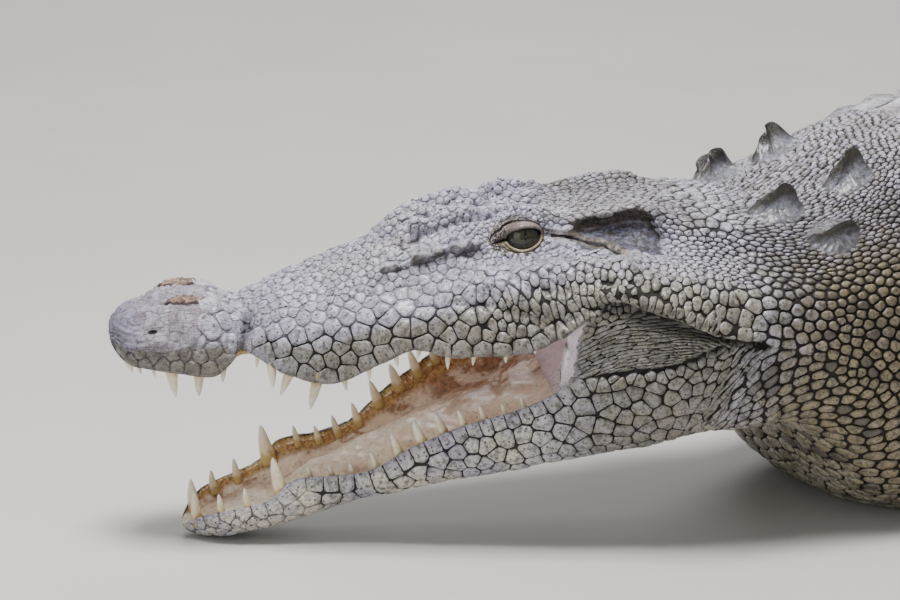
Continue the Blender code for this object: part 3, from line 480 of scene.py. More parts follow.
def relief(s, c, local):
    """How far the surface stands out from the plain cross-sections, in metres."""
    seen = np.abs(c)
    face = 1 - smooth(.64, .74, s)
    out = .0016 * along_line(RIDGE_LINE, s, c, .34) * between(s, .308, .428, .010)
    ledge = smooth(.520, .590, s) * (1 - smooth(.632, .644, s))
    above_rim = curve(TABLE_RIM, s) - c
    out += .0075 * smooth(-.10, .04, above_rim) * (1 - smooth(.20, 1.0, above_rim)) * ledge
    out -= .0052 * bell(above_rim, -.48, .32) * ledge
    below_ear = c - curve(EAR_LINE, s)
    ear = between(s, .512, .594, .008)
    out -= .0050 * bell(below_ear, 0, .065) * ear
    out += .0026 * bell(below_ear, -.15, .08) * ear + .0026 * bell(below_ear, .16, .09) * ear
    below = c - curve(CHEEK_CREASE, s)
    crease = between(s, .40, .685, .02)
    deep = smooth(.53, .585, s)
    out -= (.0034 + .0080 * deep) * bell(below, .06, .10 + .05 * deep) * crease
    out += (.0042 + .0040 * deep) * bell(below, -.34, .26) * crease
    out += .0018 * bell(below, .45, .25) * crease * (1 - deep)
    out -= .0045 * bell(c, curve(CHEEK_HOLLOW, s), .14) * between(s, .48, .59, .02)
    out += .0035 * bell(c, curve(CHEEK_HOLLOW, s) - .45, .25) * between(s, .44, .58, .03)
    nose = bell(s, .098, .030)
    out += .0034 * bell(c, 1.75, .55) * nose
    disc = np.hypot((s - .090) / .0240, (c - 1.42) / .42) + .22 * lumps(local, .008, 15.0)
    out += .0010 * (1 - smooth(.80, .98, disc)) - .0022 * bell(disc, 1.06, .10)
    notch = s - NOTCH_AT - .004 * (3.3 - c)
    out -= .0085 * bell(notch, 0, .0050) * between(c, 1.9, 4.9, .5)
    out += .0026 * (bell(notch, -.011, .0050) + bell(notch, .011, .0050)) * between(c, 2.1, 4.6, .5)
    out -= .0030 * bell(notch, -.019, .0030) * between(c, 2.3, 4.2, .3)
    out -= .0030 * bell(s, pad_edge(c), .0030) * between(c, 2.0, 4.2, .2)
    out -= .0050 * bell(s, .046, .0055) * bell(c, 3.00, .16)
    ring_wrinkle = np.sin(np.hypot(s - .030, .020 * (c - 2.0)) / .0011 + 2.2 * lumps(local, .02, 7.0))
    tip = (1 - smooth(.07, .13, s)) * (1 - smooth(4.2, 4.9, c))
    out += tip * (.0009 * ring_wrinkle + .0016 * lumps(local, .014, 2.0))
    out -= tip * .0013 * np.exp(-np.abs(lumps(local, .0105, 5.0)) / .10)
    recess = bell(c, 1.50, .13) * between(s, .345, .455, .02)
    out += .0030 * bell(c, 1.15, .20) * between(s, .345, .455, .02) - .0050 * recess
    streaks = lumps(np.asarray(local) * (.28, 1.0, 1.0), .0080, 13.0)
    out += .0015 * streaks * between(s, .48, .95, .03) * (1 - smooth(3.2, 4.2, seen))
    pillows = 1 - 2 * np.abs(lumps(local, .017, 6.0))
    out += .0036 * pillows * between(s, .42, .60, .03) * between(c, 2.95, 4.1, .2)
    crown = (1 - smooth(2.1, 2.9, seen)) * between(s, .15, .505, .03)
    rough = 1 - 2 * np.abs(lumps(local, .021))
    peak = between(s, .34, .50, .03)
    out += crown * (.0022 + .0042 * peak) * rough + crown * .0022 * lumps(local, .010, 5.0)
    flank_face = between(seen, 2.6, 4.8, .3) * face * smooth(.02, .06, s)
    out += flank_face * .0020 * lumps(local, .024, 3.0)
    grain = .0012 * lumps(local, .009, 9.0) + .0009 * lumps(local, .0055, 3.0)
    out += (1 - smooth(4.9, 5.0, c)) * face * grain
    under_fold = c - curve(MANDIBLE_FOLD, s)
    folded = between(s, .548, .672, .012)
    out += folded * (.0034 * bell(under_fold, .16, .16) - .0046 * bell(under_fold, -.01, .06))
    jaw = smooth(6.0, 6.4, c) * face
    out += jaw * (.0018 * lumps(local, .030, 11.0) + .0005 * lumps(local, .006, 2.0))
    behind = s - curve(NECK_LINE, seen)
    folds = bell(behind, .010, .018) * between(c, 5.7, 9.2, .4)
    wave = np.cos(2 * math.pi * (behind + .0012 * np.sin(c * 2.9)) / .0105)
    out += folds * (.0022 * wave - .0030)
    neck = smooth(.70, .78, s) * (1 - smooth(1.0, 1.3, s))
    out += neck * .0030 * lumps(local, .05, 2.0)
    body = smooth(.98, 1.2, s)
    out += body * .0060 * lumps(local, .09, 4.0) * (1 - smooth(7, 8.5, seen))
    return out


# ---------------------------------------------------------------- the two flanks of the body
def spaced(*spans):
    """Distances in spans of (start, end, step), without the last end."""
    return np.concatenate([np.arange(start, end - step * .3, step * COARSE) for start, end, step in spans])


ROWS = np.append(spaced((.0012, BODY_START, .0022), (BODY_START, 4.59, .0065)), 4.592)
FIRST_COLUMN, LAST_COLUMN = -1.2, 11.2
COLUMNS = np.linspace(FIRST_COLUMN, LAST_COLUMN, int(310 / COARSE) + 1)


def any_ring_point(points, s, c):
    """A ring point read past either midline from the other side's half ring."""
    if c < 0:
        return ring_point(points, s, -c) * MIRROR
    if c > LAST_PLACE:
        return ring_point(points, s, 2 * LAST_PLACE - c) * MIRROR
    return ring_point(points, s, c)


class Sheet:
    """A surface given as a grid of points, read at any row and column value."""

    def __init__(self, rows, columns, points, sign):
        self.rows, self.columns, self.sign = rows, columns, sign
        self.measure(points)

    def measure(self, points):
        run = np.gradient(points, axis=0) / np.gradient(self.rows)[:, None, None]
        around = np.gradient(points, axis=1) / np.gradient(self.columns)[:, None]
        normal = np.cross(around, run) * self.sign
        normal /= np.linalg.norm(normal, axis=-1)[..., None] + 1e-12
        self.fields = {"point": points, "run": run, "around": around, "normal": normal}

    def read(self, name, s, c):
        field = self.fields[name]
        i = np.clip(np.interp(s, self.rows, np.arange(len(self.rows))), 0, len(self.rows) - 1.001)
        j = np.clip(np.interp(c, self.columns, np.arange(len(self.columns))), 0, len(self.columns) - 1.001)
        i0, j0 = i.astype(int), j.astype(int)
        u, v = (i - i0)[..., None], (j - j0)[..., None]
        low = mix(field[i0, j0], field[i0, j0 + 1], v)
        return mix(low, mix(field[i0 + 1, j0], field[i0 + 1, j0 + 1], v), u)


def flank(side):
    """One side of the body, with the relief raised on it."""
    points = controls(ROWS)
    local = np.stack([any_ring_point(points, ROWS, c) for c in COLUMNS], 1)
    local[..., 1] *= side
    s, c = np.meshgrid(ROWS, COLUMNS, indexing="ij")
    flat = place(local)
    sheet = Sheet(ROWS, COLUMNS, flat, side)
    raised = flat + sheet.fields["normal"] * relief(s, c, local)[..., None]
    raised[..., 2] = np.maximum(raised[..., 2], .0006)
    sheet.measure(raised)
    return sheet


FLANKS = {1: flank(1), -1: flank(-1)}


def surface(side, s, c):
    """Points of one flank, and the directions that stand out from it."""
    return FLANKS[side].read("point", s, c), FLANKS[side].read("normal", s, c)


# ---------------------------------------------------------------- eyes and their places
def eye_frame(side):
    """Centre of the eyeball, and its rearward, upward and outward directions."""
    s, w, z = EYE_AT
    centre = place(np.array([[s, w * side, z]]))[0]
    _, sideways, up = spine(np.array([s]))
    outward = unit(sideways[0] * side + up[0] * .30)
    rear = np.cross(up[0], sideways[0])
    rear = rear * (1 if rear[0] > 0 else -1)
    rear = unit(rear - outward * (rear @ outward))
    above = np.cross(outward, rear)
    above = above * (1 if above[2] > 0 else -1)
    return centre, rear, above, outward


EYES = {side: eye_frame(side) for side in (1, -1)}


def eye_plane(side, points):
    """Rearward, upward and outward coordinates of points seen from the eye on that side."""
    centre, rear, above, outward = EYES[side]
    offset = points - centre
    return offset @ rear, offset @ above, offset @ outward


LID_MIDDLE, LID_FRONT, LID_REAR, LID_ABOVE, LID_BELOW = -.006, .038, .032, .0265, .0215


def lid_reach(x, y):
    """0 at the edge of the lids' patch, negative inside it, as a share of its size."""
    wide = np.where(x < LID_MIDDLE, LID_FRONT, LID_REAR)
    tall = np.where(y > 0, LID_ABOVE, LID_BELOW)
    return np.sqrt(((x - LID_MIDDLE) / wide) ** 2 + (y / tall) ** 2) - 1.0


def lid_cover(side, points):
    """How deep inside the lids' patch a point of the body's surface lies, 0 outside."""
    x, y, z = eye_plane(side, points)
    return np.where(z > 0, np.clip(-lid_reach(x, y), 0, 1), 0)


# ---------------------------------------------------------------- pattern of the hide and painted shading, shared by skin and coat
def markings_and_painted_shading(s, c, points):
    """Dark, warm and pale shares of the hide's colour at places on the body: its pattern, with painted shade
    in folds and grooves and painted light on the front of the lower jaw.
    """
    neck = neck_share(s, c)
    head = 1 - neck
    trunk = smooth(.95, 1.2, s)
    blotch = lumps(points, .085, 1.0) + .5 * lumps(points, .035, 6.0)
    snout_top, snout_side = between(s, .17, .50, .05), between(s, .17, .42, .03)
    skull_top = (1 - smooth(2.0, 2.6, c)) * between(s, .53, .66, .06)
    snout_tip = 1 - smooth(.11, .16, s)
    jaw_front = smooth(6.2, 6.8, c) * (1 - smooth(.42, .54, s))
    brown = smooth(-.05, .12, s - curve(NECK_LINE, np.abs(c)))
    # painted shade: the first dark share below is a shadow line just under the ridge bars before the eye
    dark = (.60 * bell(c, curve(RIDGE_LINE, s) + .30, .14) * between(s, .31, .43, .02),
            .15 * (1 - smooth(1.2, 2.2, c)) * snout_top * smooth(-.2, .5, blotch),
            .20 * between(c, 2.8, 4.6, .4) * snout_side,
            .50 * skull_top * smooth(-.5, .3, blotch),
            .60 * snout_tip * between(c, 4.0, 5.2, .2),
            # painted shade along the mandible's fold
            .85 * bell(c, curve(MANDIBLE_FOLD, s) - .01, .045) * between(s, .548, .672, .01),
            # the front of the lower jaw is mostly spared this darkening, as painted light is laid on it below
            .16 * head * smooth(3.4, 4.6, c) * (1 - .8 * jaw_front),
            # painted shade in the groove beside the crest, at place 1.5
            .40 * bell(c, 1.50, .12) * between(s, .345, .455, .02),
            # painted shade in the notch behind the snout's tip
            .80 * bell(s - NOTCH_AT - .004 * (3.3 - c), 0, .0060) * between(c, 1.9, 4.9, .4),
            trunk * smooth(.05, .55, blotch - .12 * (c - 3)) * (1 - smooth(5.5, 7.5, c)),
            .30 * trunk * (1 - smooth(3.5, 5.5, c)),
            (.18 + .34 * between(c, 2.0, 4.6, .6) + .10 * smooth(4.6, 5.4, c)) * neck)
    warm = (head * .85 * between(c, 4.3, 5.3, .6) * smooth(.10, .25, s),
            head * .80 * smooth(.44, .56, s) * smooth(3.2, 4.4, c),
            head * .55 * between(c, 6.5, 7.8, .4) * smooth(.43, .55, s),
            head * .95 * snout_tip * between(c, 4.2, 5.1, .2),
            head * .40 * skull_top,
            brown * (.30 + .35 * trunk + .70 * smooth(1.8, 3.8, c)))
    pale = (smooth(7.4, 8.8, c) * .9,
            # painted light: the front of the lower jaw is paler, standing in for light reflected up onto it
            # from below
            .8 * smooth(6.0, 6.3, c) * (1 - smooth(.40, .54, s)),
            .20 * head * smooth(.0, .7, blotch))
    return np.clip(stack(*(np.maximum.reduce(shares) for shares in (dark, warm, pale))), 0, 1)


WEB_END = .528
COAT_DEPTH = ((0, .0011), (.45, .0012), (.64, .0015), (.8, .0020), (1.1, .0032), (4.0, .0026),
              (4.6, .0012))


def bareness(side, s, c, points):
    """1 where no scales grow and the skin itself shows."""
    mouth_side = between(c, 5.0, 6.0, .02) * (1 - smooth(WEB_END - .002, WEB_END + .012, s))
    tip = (1 - smooth(-.003, .003, s - pad_edge(c))) * (1 - smooth(4.10, 4.25, c))
    below_ear = c - curve(EAR_LINE, s)
    ear = between(below_ear, -.22, .24, .05) * between(s, .512, .596, .005)
    rim = c - curve(TABLE_RIM, s)
    reach = .14 + 1.10 * smooth(.540, .582, s)
    ledge = between(rim, -.04, reach, .06) * between(s, .535, .634, .006)
    ledge = ledge * (1 - smooth(-.30, -.15, below_ear))
    patch = np.clip(lid_cover(side, points) * 8, 0, 1)
    return np.clip(np.maximum.reduce([mouth_side, tip, ear, ledge, patch]), 0, 1)


# ---------------------------------------------------------------- skin
SKIN_ROWS = np.unique(np.concatenate((
    spaced((.0012, .17, .0022), (.17, .38, .0032), (.38, .66, .0025), (.66, BODY_START, .0070),
           (BODY_START, 4.58, .016)), [MOUTH_CORNER, BODY_START, 4.592])))
SKIN_ROWS = SKIN_ROWS[np.concatenate(([True], np.diff(SKIN_ROWS) > .0004))]
CORNER_ROW = int(np.argmin(np.abs(SKIN_ROWS - MOUTH_CORNER)))
BODY_ROW = int(np.argmin(np.abs(SKIN_ROWS - BODY_START)))
UPPER_STEPS, WEB_STEPS, LOWER_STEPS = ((50, 8, 35))
SKIN_PLACES = np.concatenate((np.linspace(0, 5, UPPER_STEPS + 1), np.linspace(5, 6, WEB_STEPS + 1)[1:],
                              np.linspace(6, 10, LOWER_STEPS + 1)[1:]))
LIP_COLUMN, GUM_COLUMN = UPPER_STEPS, UPPER_STEPS + WEB_STEPS
LINING_STEPS = 30
BODY_STRIDE = 3


def half_skin(side):
    """Vertices of one half of the skin, laid just under the coat, with what is painted on them."""
    s, c = np.meshgrid(SKIN_ROWS, SKIN_PLACES, indexing="ij")
    points, normal = surface(side, s, c)
    bare = bareness(side, s, c, points)
    marks = markings_and_painted_shading(s, c, points)
    cover = lid_cover(side, points)
    sink = curve(COAT_DEPTH, s) * (1 - bare) + .020 * smooth(.10, .45, cover) + .0015 * smooth(0, .10, cover)
    points = points - normal * sink[..., None]
    points[..., 2] = np.maximum(points[..., 2], .0003)
    web = between(c, 5.02, 5.98, .02) * (1 - smooth(WEB_END, WEB_END + .010, s))
    return points, {"plan": stack(s, c, side), "tone": stack(.5, web, bare), "marks": marks,
                    "own": stack(0.0, 0.0, neck_share(s, c))}


def lining(s, lips, gums, across):
    """The palate and the mouth's floor between the tooth rows, in the open mouth's own frame."""
    roof = np.repeat(lips[:, None, :], len(across), 1)
    bed = np.repeat(gums[:, None, :], len(across), 1)
    spread = 1 - np.abs(across) ** 6
    roof[..., 1] = lips[:, None, 1] * across
    roof[..., 2] += (curve(PALATE_Z, s) - curve(LIP_Z, s))[:, None] * spread * smooth(0, .02, s)[:, None]
    depth = (curve(FLOOR_Z, s) - curve(GUM_Z, s))[:, None] * spread * smooth(0, .03, s)[:, None]
    bed[..., 1] = gums[:, None, 1] * across
    bed[..., 0] += -depth * math.sin(GAPE)
    bed[..., 2] += depth * math.cos(GAPE)
    fold = np.abs(across)
    bed[..., 2] += (.016 * smooth(.44, .51, s))[:, None] * spread
    gum = bell(fold, .93, .030) * smooth(.02, .06, s)[:, None]
    ribs = .0016 * np.sin(s[:, None] / .0115 * 2 * math.pi + 9 * fold) * between(fold, .12, .80, .1)
    wrinkle = .0022 * lumps(roof, .022, 8.0)
    roof[..., 2] -= (.0050 * gum + ribs * (1 - smooth(.43, .51, s))[:, None] + wrinkle) * (1 - fold ** 20)
    swell = (.0042 * gum + .0030 * lumps(bed, .030, 12.0) + .0012 * lumps(bed, .010, 2.0)) * (1 - fold ** 20)
    bed[..., 0] -= swell * math.sin(GAPE)
    bed[..., 2] += swell * math.cos(GAPE)
    return roof, bed


def fan(loop, centre):
    return np.array([[here, loop[(n + 1) % len(loop)], centre] for n, here in enumerate(loop)])


def capped(rings, flip, *ends):
    """Points and faces of a row of rings that is closed by a fan round an end point at each end."""
    rows, turns = rings.shape[:2]
    count = rows * turns
    faces = [grid_faces(rows, turns, flip, closed=True), fan(range(turns), count),
             fan(range(count - turns, count), count + 1)]
    return np.concatenate([rings.reshape(-1, 3), ends]), faces


def add_mouth(patch):
    """Palate, floor and back of the mouth, meeting the lips."""
    s = SKIN_ROWS[:CORNER_ROW + 1]
    across = np.linspace(1, -1, LINING_STEPS + 1)
    points = controls(s)
    roof, bed = lining(s, points[:, UPPER_LIP], points[:, LOWER_LIP], across)
    share = (SKIN_PLACES[LIP_COLUMN:GUM_COLUMN + 1] - 5)[:, None]
    wall = mix(roof[-1][None], bed[-1][None], share[..., None])
    wall[..., 0] += .040 * (1 - across ** 2) * np.sin(math.pi * share)
    wall[..., 0] += .0025 * lumps(wall, .016, 3.0) * np.sin(math.pi * share)
    corner_s, corner_c = 0 * share[:, 0] + MOUTH_CORNER, share[:, 0] + 5.0
    for kind, (rows, edge_s, edge_c) in enumerate(((roof, s, 0 * s + 5.0), (bed, s, 0 * s + 6.0),
                                                   (wall, corner_s, corner_c))):
        world = place(rows)
        for side, column in ((1, 0), (-1, LINING_STEPS)):
            world[:, column] = FLANKS[side].read("point", edge_s, edge_c)
        patch.add(world, [grid_faces(len(rows), LINING_STEPS + 1, kind == 1)], slot=1,
                  plan=stack(rows[..., 0], across, kind), marks=stack(edge_s[:, None], 0 * across, 0.0))


def add_body_skin(patch):
    """Both halves of the body's outside."""
    for side in (1, -1):
        points, values = half_skin(side)
        rows, columns = points.shape[:2]
        ids = np.arange(rows * columns).reshape(rows, columns)
        quads = grid_faces(rows, columns, side < 0).reshape(rows - 1, columns - 1, 4)
        open_mouth = np.zeros(quads.shape[:2], bool)
        open_mouth[:CORNER_ROW, LIP_COLUMN:GUM_COLUMN] = True
        open_mouth[BODY_ROW:] = True
        coarse_rows = ids[BODY_ROW:, ::BODY_STRIDE]
        coarse = stack(coarse_rows[1:-1, :-1], coarse_rows[1:-1, 1:], coarse_rows[2:, 1:],
                       coarse_rows[2:, :-1]).reshape(-1, 4)
        joint = [list(ids[BODY_ROW, k:k + BODY_STRIDE + 1]) + [ids[BODY_ROW + 1, k + BODY_STRIDE],
                                                              ids[BODY_ROW + 1, k]]
                 for k in range(0, columns - 1, BODY_STRIDE)]
        tail_ring = ids[-1, ::BODY_STRIDE]
        patch.add(points, [quads[~open_mouth], coarse[:, ::-side], np.array(joint),
                           fan(list(tail_ring), tail_ring[0])[1:-1]], **values)


def add_front_caps(patch):
    """Close the tips of the snout and of the chin."""
    s = SKIN_ROWS[:1]
    across = np.linspace(1, -1, LINING_STEPS + 1)
    points = controls(s)
    roof, bed = lining(s, points[:, UPPER_LIP], points[:, LOWER_LIP], across)
    for low, high, inner in ((0, LIP_COLUMN, place(roof)[0]),
                             (GUM_COLUMN, len(SKIN_PLACES) - 1, place(bed)[0])):
        places = SKIN_PLACES[low:high + 1]
        halves = []
        for side in (1, -1):
            at = np.full(len(places), s[0])
            points, normal = surface(side, at, places)
            bare = bareness(side, at, places, normal * 0)
            halves.append(points - normal * (curve(COAT_DEPTH, at) * (1 - bare))[:, None])
        if low == 0:
            loop = np.concatenate([halves[0], inner[1:-1], halves[1][::-1][:-1]])
        else:
            loop = np.concatenate([halves[0], halves[1][::-1][1:], inner[1:-1][::-1]])
        middle = loop.mean(axis=0)
        rings = np.concatenate([middle + (loop - middle) * share for share in (1.0, .66, .33)])
        count = len(loop)
        points = np.concatenate([rings, middle[None]])
        plan = np.tile((s[0], 3.0, 1.0), (len(points), 1))
        faces = [grid_faces(3, count, closed=True), fan(range(2 * count, 3 * count), 3 * count)]
        patch.add(points, faces, plan=plan, tone=np.tile((.5, 0.0, 1.0), (len(points), 1)),
                  marks=markings_and_painted_shading(plan[:, 0], plan[:, 1], points))


# ---------------------------------------------------------------- lids
LID_TURNS = 144
LID_RINGS = 22
FRONT_CORNER, OPEN_FRONT, REAR_CORNER = -.034, -.0200, .0185


def lid_margin(turn):
    """The opening between the lids: rearward and upward coordinates at each turn round it."""
    x = np.cos(turn)
    x = np.where(x < 0, -FRONT_CORNER * x, REAR_CORNER * x)
    share = np.where(x < 0, x / FRONT_CORNER, x / REAR_CORNER)
    ball = np.where(x < 0, x / OPEN_FRONT, x / REAR_CORNER)
    arch = np.sqrt(np.clip(1 - ball ** 2, 0, 1))
    above = .0080 * arch ** .62 + .0005
    below = -.0122 * arch - .0005 - .0014 * bell(x, -.004, .010) * arch
    return x, np.where(np.sin(turn) > 0, above, below) - .0040 * (x < 0) * share ** 1.5


def add_lids(patch):
    """Thick lids wrapped over each eyeball and running out into the skin of the head."""
    turn = np.linspace(0, 2 * math.pi, LID_TURNS, endpoint=False)
    mx, my = lid_margin(turn)
    ox = LID_MIDDLE + np.where(np.cos(turn) < 0, LID_FRONT, LID_REAR) * np.cos(turn)
    oy = np.where(np.sin(turn) > 0, LID_ABOVE, LID_BELOW) * np.sin(turn)
    for side in (1, -1):
        centre, rear, above, outward = EYES[side]
        s, c = np.meshgrid(np.linspace(.415, .545, 131), np.linspace(1.2, 4.0, 141), indexing="ij")
        near = FLANKS[side].read("point", s, c)
        nx, ny, nz = eye_plane(side, near)
        points, tone, flat = [], [], []
        for share in np.linspace(0, 1, LID_RINGS):
            ease = share ** .9
            x, y = mx + (ox - mx) * ease, my + (oy - my) * ease
            body = np.empty(len(turn))
            for k in range(len(turn)):
                gap = (nx - x[k]) ** 2 + (ny - y[k]) ** 2 + np.where(nz > -.01, 0, 1)
                pick = np.argpartition(gap.ravel(), 6)[:6]
                weight = 1 / (gap.ravel()[pick] + 1e-7)
                body[k] = (nz.ravel()[pick] * weight).sum() / weight.sum()
            ball = np.sqrt(np.maximum(EYE_RADIUS ** 2 - x ** 2 - y ** 2, .0035 ** 2))
            upper = np.sin(turn) > 0
            lift = smooth(0, .22, share)
            fold = np.where(upper, .0052, .0034) * np.sin(math.pi * np.clip(share * 1.25, 0, 1)) ** .8
            crease = np.where(upper, .0046 * bell(share, .56, .05), .0020 * bell(share, .45, .05))
            crease = crease + .0009 * bell(share, .82, .04)
            blend = smooth(.12, 1.0, share)
            z = mix(ball + .0012 + .0016 * lift, body - .0016 * smooth(.9, 1, share), blend)
            z = z + fold * (1 - .2 * blend) - crease
            z = np.where(share == 0, ball - .0015, z)
            points.append(centre + np.outer(x, rear) + np.outer(y, above) + np.outer(z, outward))
            tone.append(stack(1 - smooth(.05, .16, share), upper, share))
            flat.append(stack(x, y, 0.0))
        points = np.concatenate(points)
        plan = np.tile((.484, 2.68, side), (len(points), 1))
        faces = grid_faces(LID_RINGS, LID_TURNS, flip=side < 0, closed=True)
        patch.add(points, [faces], slot=2, plan=plan, tone=tone, own=flat,
                  marks=markings_and_painted_shading(plan[:, 0], plan[:, 1], points))


# ---------------------------------------------------------------- scales
def gather(parts):
    """Join several lots of seeds into one: their sheets, distances and places."""
    return tuple(np.concatenate(column) for column in zip(*parts))


def read_all(sheets, which, name, s, c):
    """Read a field at points that lie on several sheets."""
    out = np.zeros(np.shape(s) + (3,))
    which = np.broadcast_to(which.reshape(which.shape + (1,) * (np.ndim(s) - which.ndim)), np.shape(s))
    for k, sheet in enumerate(sheets):
        mask = which == k
        if mask.any():
            out[mask] = sheet.read(name, s[mask], c[mask])
    return out


def frames(sheets, which, s, c):
    """Place, directions along and across, and plan-to-metre factors at each seed."""
    at, run, around = (read_all(sheets, which, name, s, c) for name in ("point", "run", "around"))
    turn = slant(s, c)[:, None] if sheets is SIDES else np.zeros((len(s), 1))
    length = np.linalg.norm(run, axis=-1) + 1e-9
    along = run / length[:, None]
    skew = (around * along).sum(-1)
    rest = around - along * skew[:, None]
    width = np.linalg.norm(rest, axis=-1) + 1e-9
    across = rest / width[:, None]
    return {"at": at, "along": along * np.cos(turn) + across * np.sin(turn),
            "across": across * np.cos(turn) - along * np.sin(turn), "length": length, "width": width,
            "skew": skew, "turn": turn[:, 0]}


def slant(s, c):
    """Turn of the scales' rows from the body's own line: they slope forward down the side of the neck."""
    onto_neck = smooth(-.035, .0, s - curve(NECK_LINE, np.abs(c)))
    return .62 * onto_neck * between(c, 5.2, 9.2, .8) * (s < BODY_START)


def to_plan(frame, a, b):
    """Steps on the plan for steps of a metres along and b metres across."""
    extra = (1,) * (np.ndim(a) - 1)
    width, skew, length, turn = (frame[k].reshape((-1,) + extra) for k in ("width", "skew", "length", "turn"))
    a, b = a * np.cos(turn) - b * np.sin(turn), a * np.sin(turn) + b * np.cos(turn)
    dc = b / width
    return (a - skew * dc) / length, dc


def neighbours(points, count):
    """Numbers of the nearest other seeds of each seed."""
    tree = KDTree(len(points))
    for n, point in enumerate(points):
        tree.insert(point, n)
    tree.balance()
    return np.array([[hit[1] for hit in tree.find_n(point, count + 1)][1:] for point in points])


def stretched_offsets(frame, points, near, stretch):
    """Offsets to the neighbours in each seed's own frame, squeezed along its long way."""
    delta = points[near] - points[:, None]
    a = (delta * frame["along"][:, None]).sum(-1)
    b = (delta * frame["across"][:, None]).sum(-1)
    flat = np.sqrt(a * a + b * b) + 1e-9
    full = np.linalg.norm(delta, axis=-1)
    grow = np.minimum(full / flat, 3.0)
    return a * grow / stretch[:, None], b * grow * stretch[:, None]


PUSH_REACH, PUSH_SHARE = .58, .42


def relax(sheets, seeds, style, limit, rounds, pinned=0):
    """Let the seeds push each other apart until they are evenly spread; the first few may be pinned."""
    which, s, c = seeds
    free = np.arange(len(s)) >= pinned
    for _ in range(rounds):
        frame = frames(sheets, which, s, c)
        size, stretch = style(which, s, c, frame["at"])[:2]
        near = neighbours(frame["at"], 8)
        a, b = stretched_offsets(frame, frame["at"], near, stretch)
        distance = np.sqrt(a * a + b * b) + 1e-9
        reach = (size[:, None] + size[near]) * PUSH_REACH
        push = np.clip(1 - distance / reach, 0, 1) / distance
        step_a, step_b = (-(push * way).sum(1) * size * PUSH_SHARE for way in (a, b))
        ds, dc = to_plan(frame, step_a * stretch * free, step_b / stretch * free)
        s, c = limit(which, s + ds, c + dc, s, c)
    return which, s, c


def scatter(sheets, density, rng):
    """Seeds strewn over sheets in proportion to a density per square metre."""
    found = []
    for k, sheet in enumerate(sheets):
        s, c = np.meshgrid(sheet.rows, sheet.columns, indexing="ij")
        step_s, step_c = np.gradient(sheet.rows)[:, None] + 0 * c, np.gradient(sheet.columns) + 0 * s
        spread = np.linalg.norm(np.cross(sheet.fields["run"], sheet.fields["around"]), axis=-1)
        amount = density(np.full(s.shape, k), s, c, sheet.fields["point"])
        weight = (amount * (spread * step_s * step_c)).ravel()
        total = np.cumsum(weight)
        count = int(total[-1])
        pick = np.searchsorted(total, (np.arange(count) + rng.random(count)) / count * total[-1])
        pick = np.minimum(pick, len(total) - 1)
        jitter = rng.random((2, count)) - .5
        found.append((np.full(count, k), s.ravel()[pick] + step_s.ravel()[pick] * jitter[0],
                      c.ravel()[pick] + step_c.ravel()[pick] * jitter[1]))
    return gather(found)


NEAR_COUNT = 14


def outlines(sheets, seeds, style, turns):
    """Distance from each seed to its cell's edge at each turn, with its frame and manner."""
    which, s, c = seeds
    frame = frames(sheets, which, s, c)
    size, stretch, manner = style(which, s, c, frame["at"])
    near = neighbours(frame["at"], NEAR_COUNT)
    a, b = stretched_offsets(frame, frame["at"], near, stretch)
    angle = 2 * math.pi * np.arange(turns) / turns
    reach = a[..., None] * np.cos(angle) + b[..., None] * np.sin(angle)
    half = (a * a + b * b)[..., None] / 2
    edge = np.where(reach > 1e-6, half / np.maximum(reach, 1e-6), 9.0).min(axis=1)
    edge = np.minimum(edge, size[:, None] * .95)
    ring = (np.roll(edge, 1, 1) + np.roll(edge, -1, 1)) / 2
    edge = np.minimum(edge, edge + (ring - edge) * manner["round"][:, None])
    return frame, size, stretch, manner, edge, angle


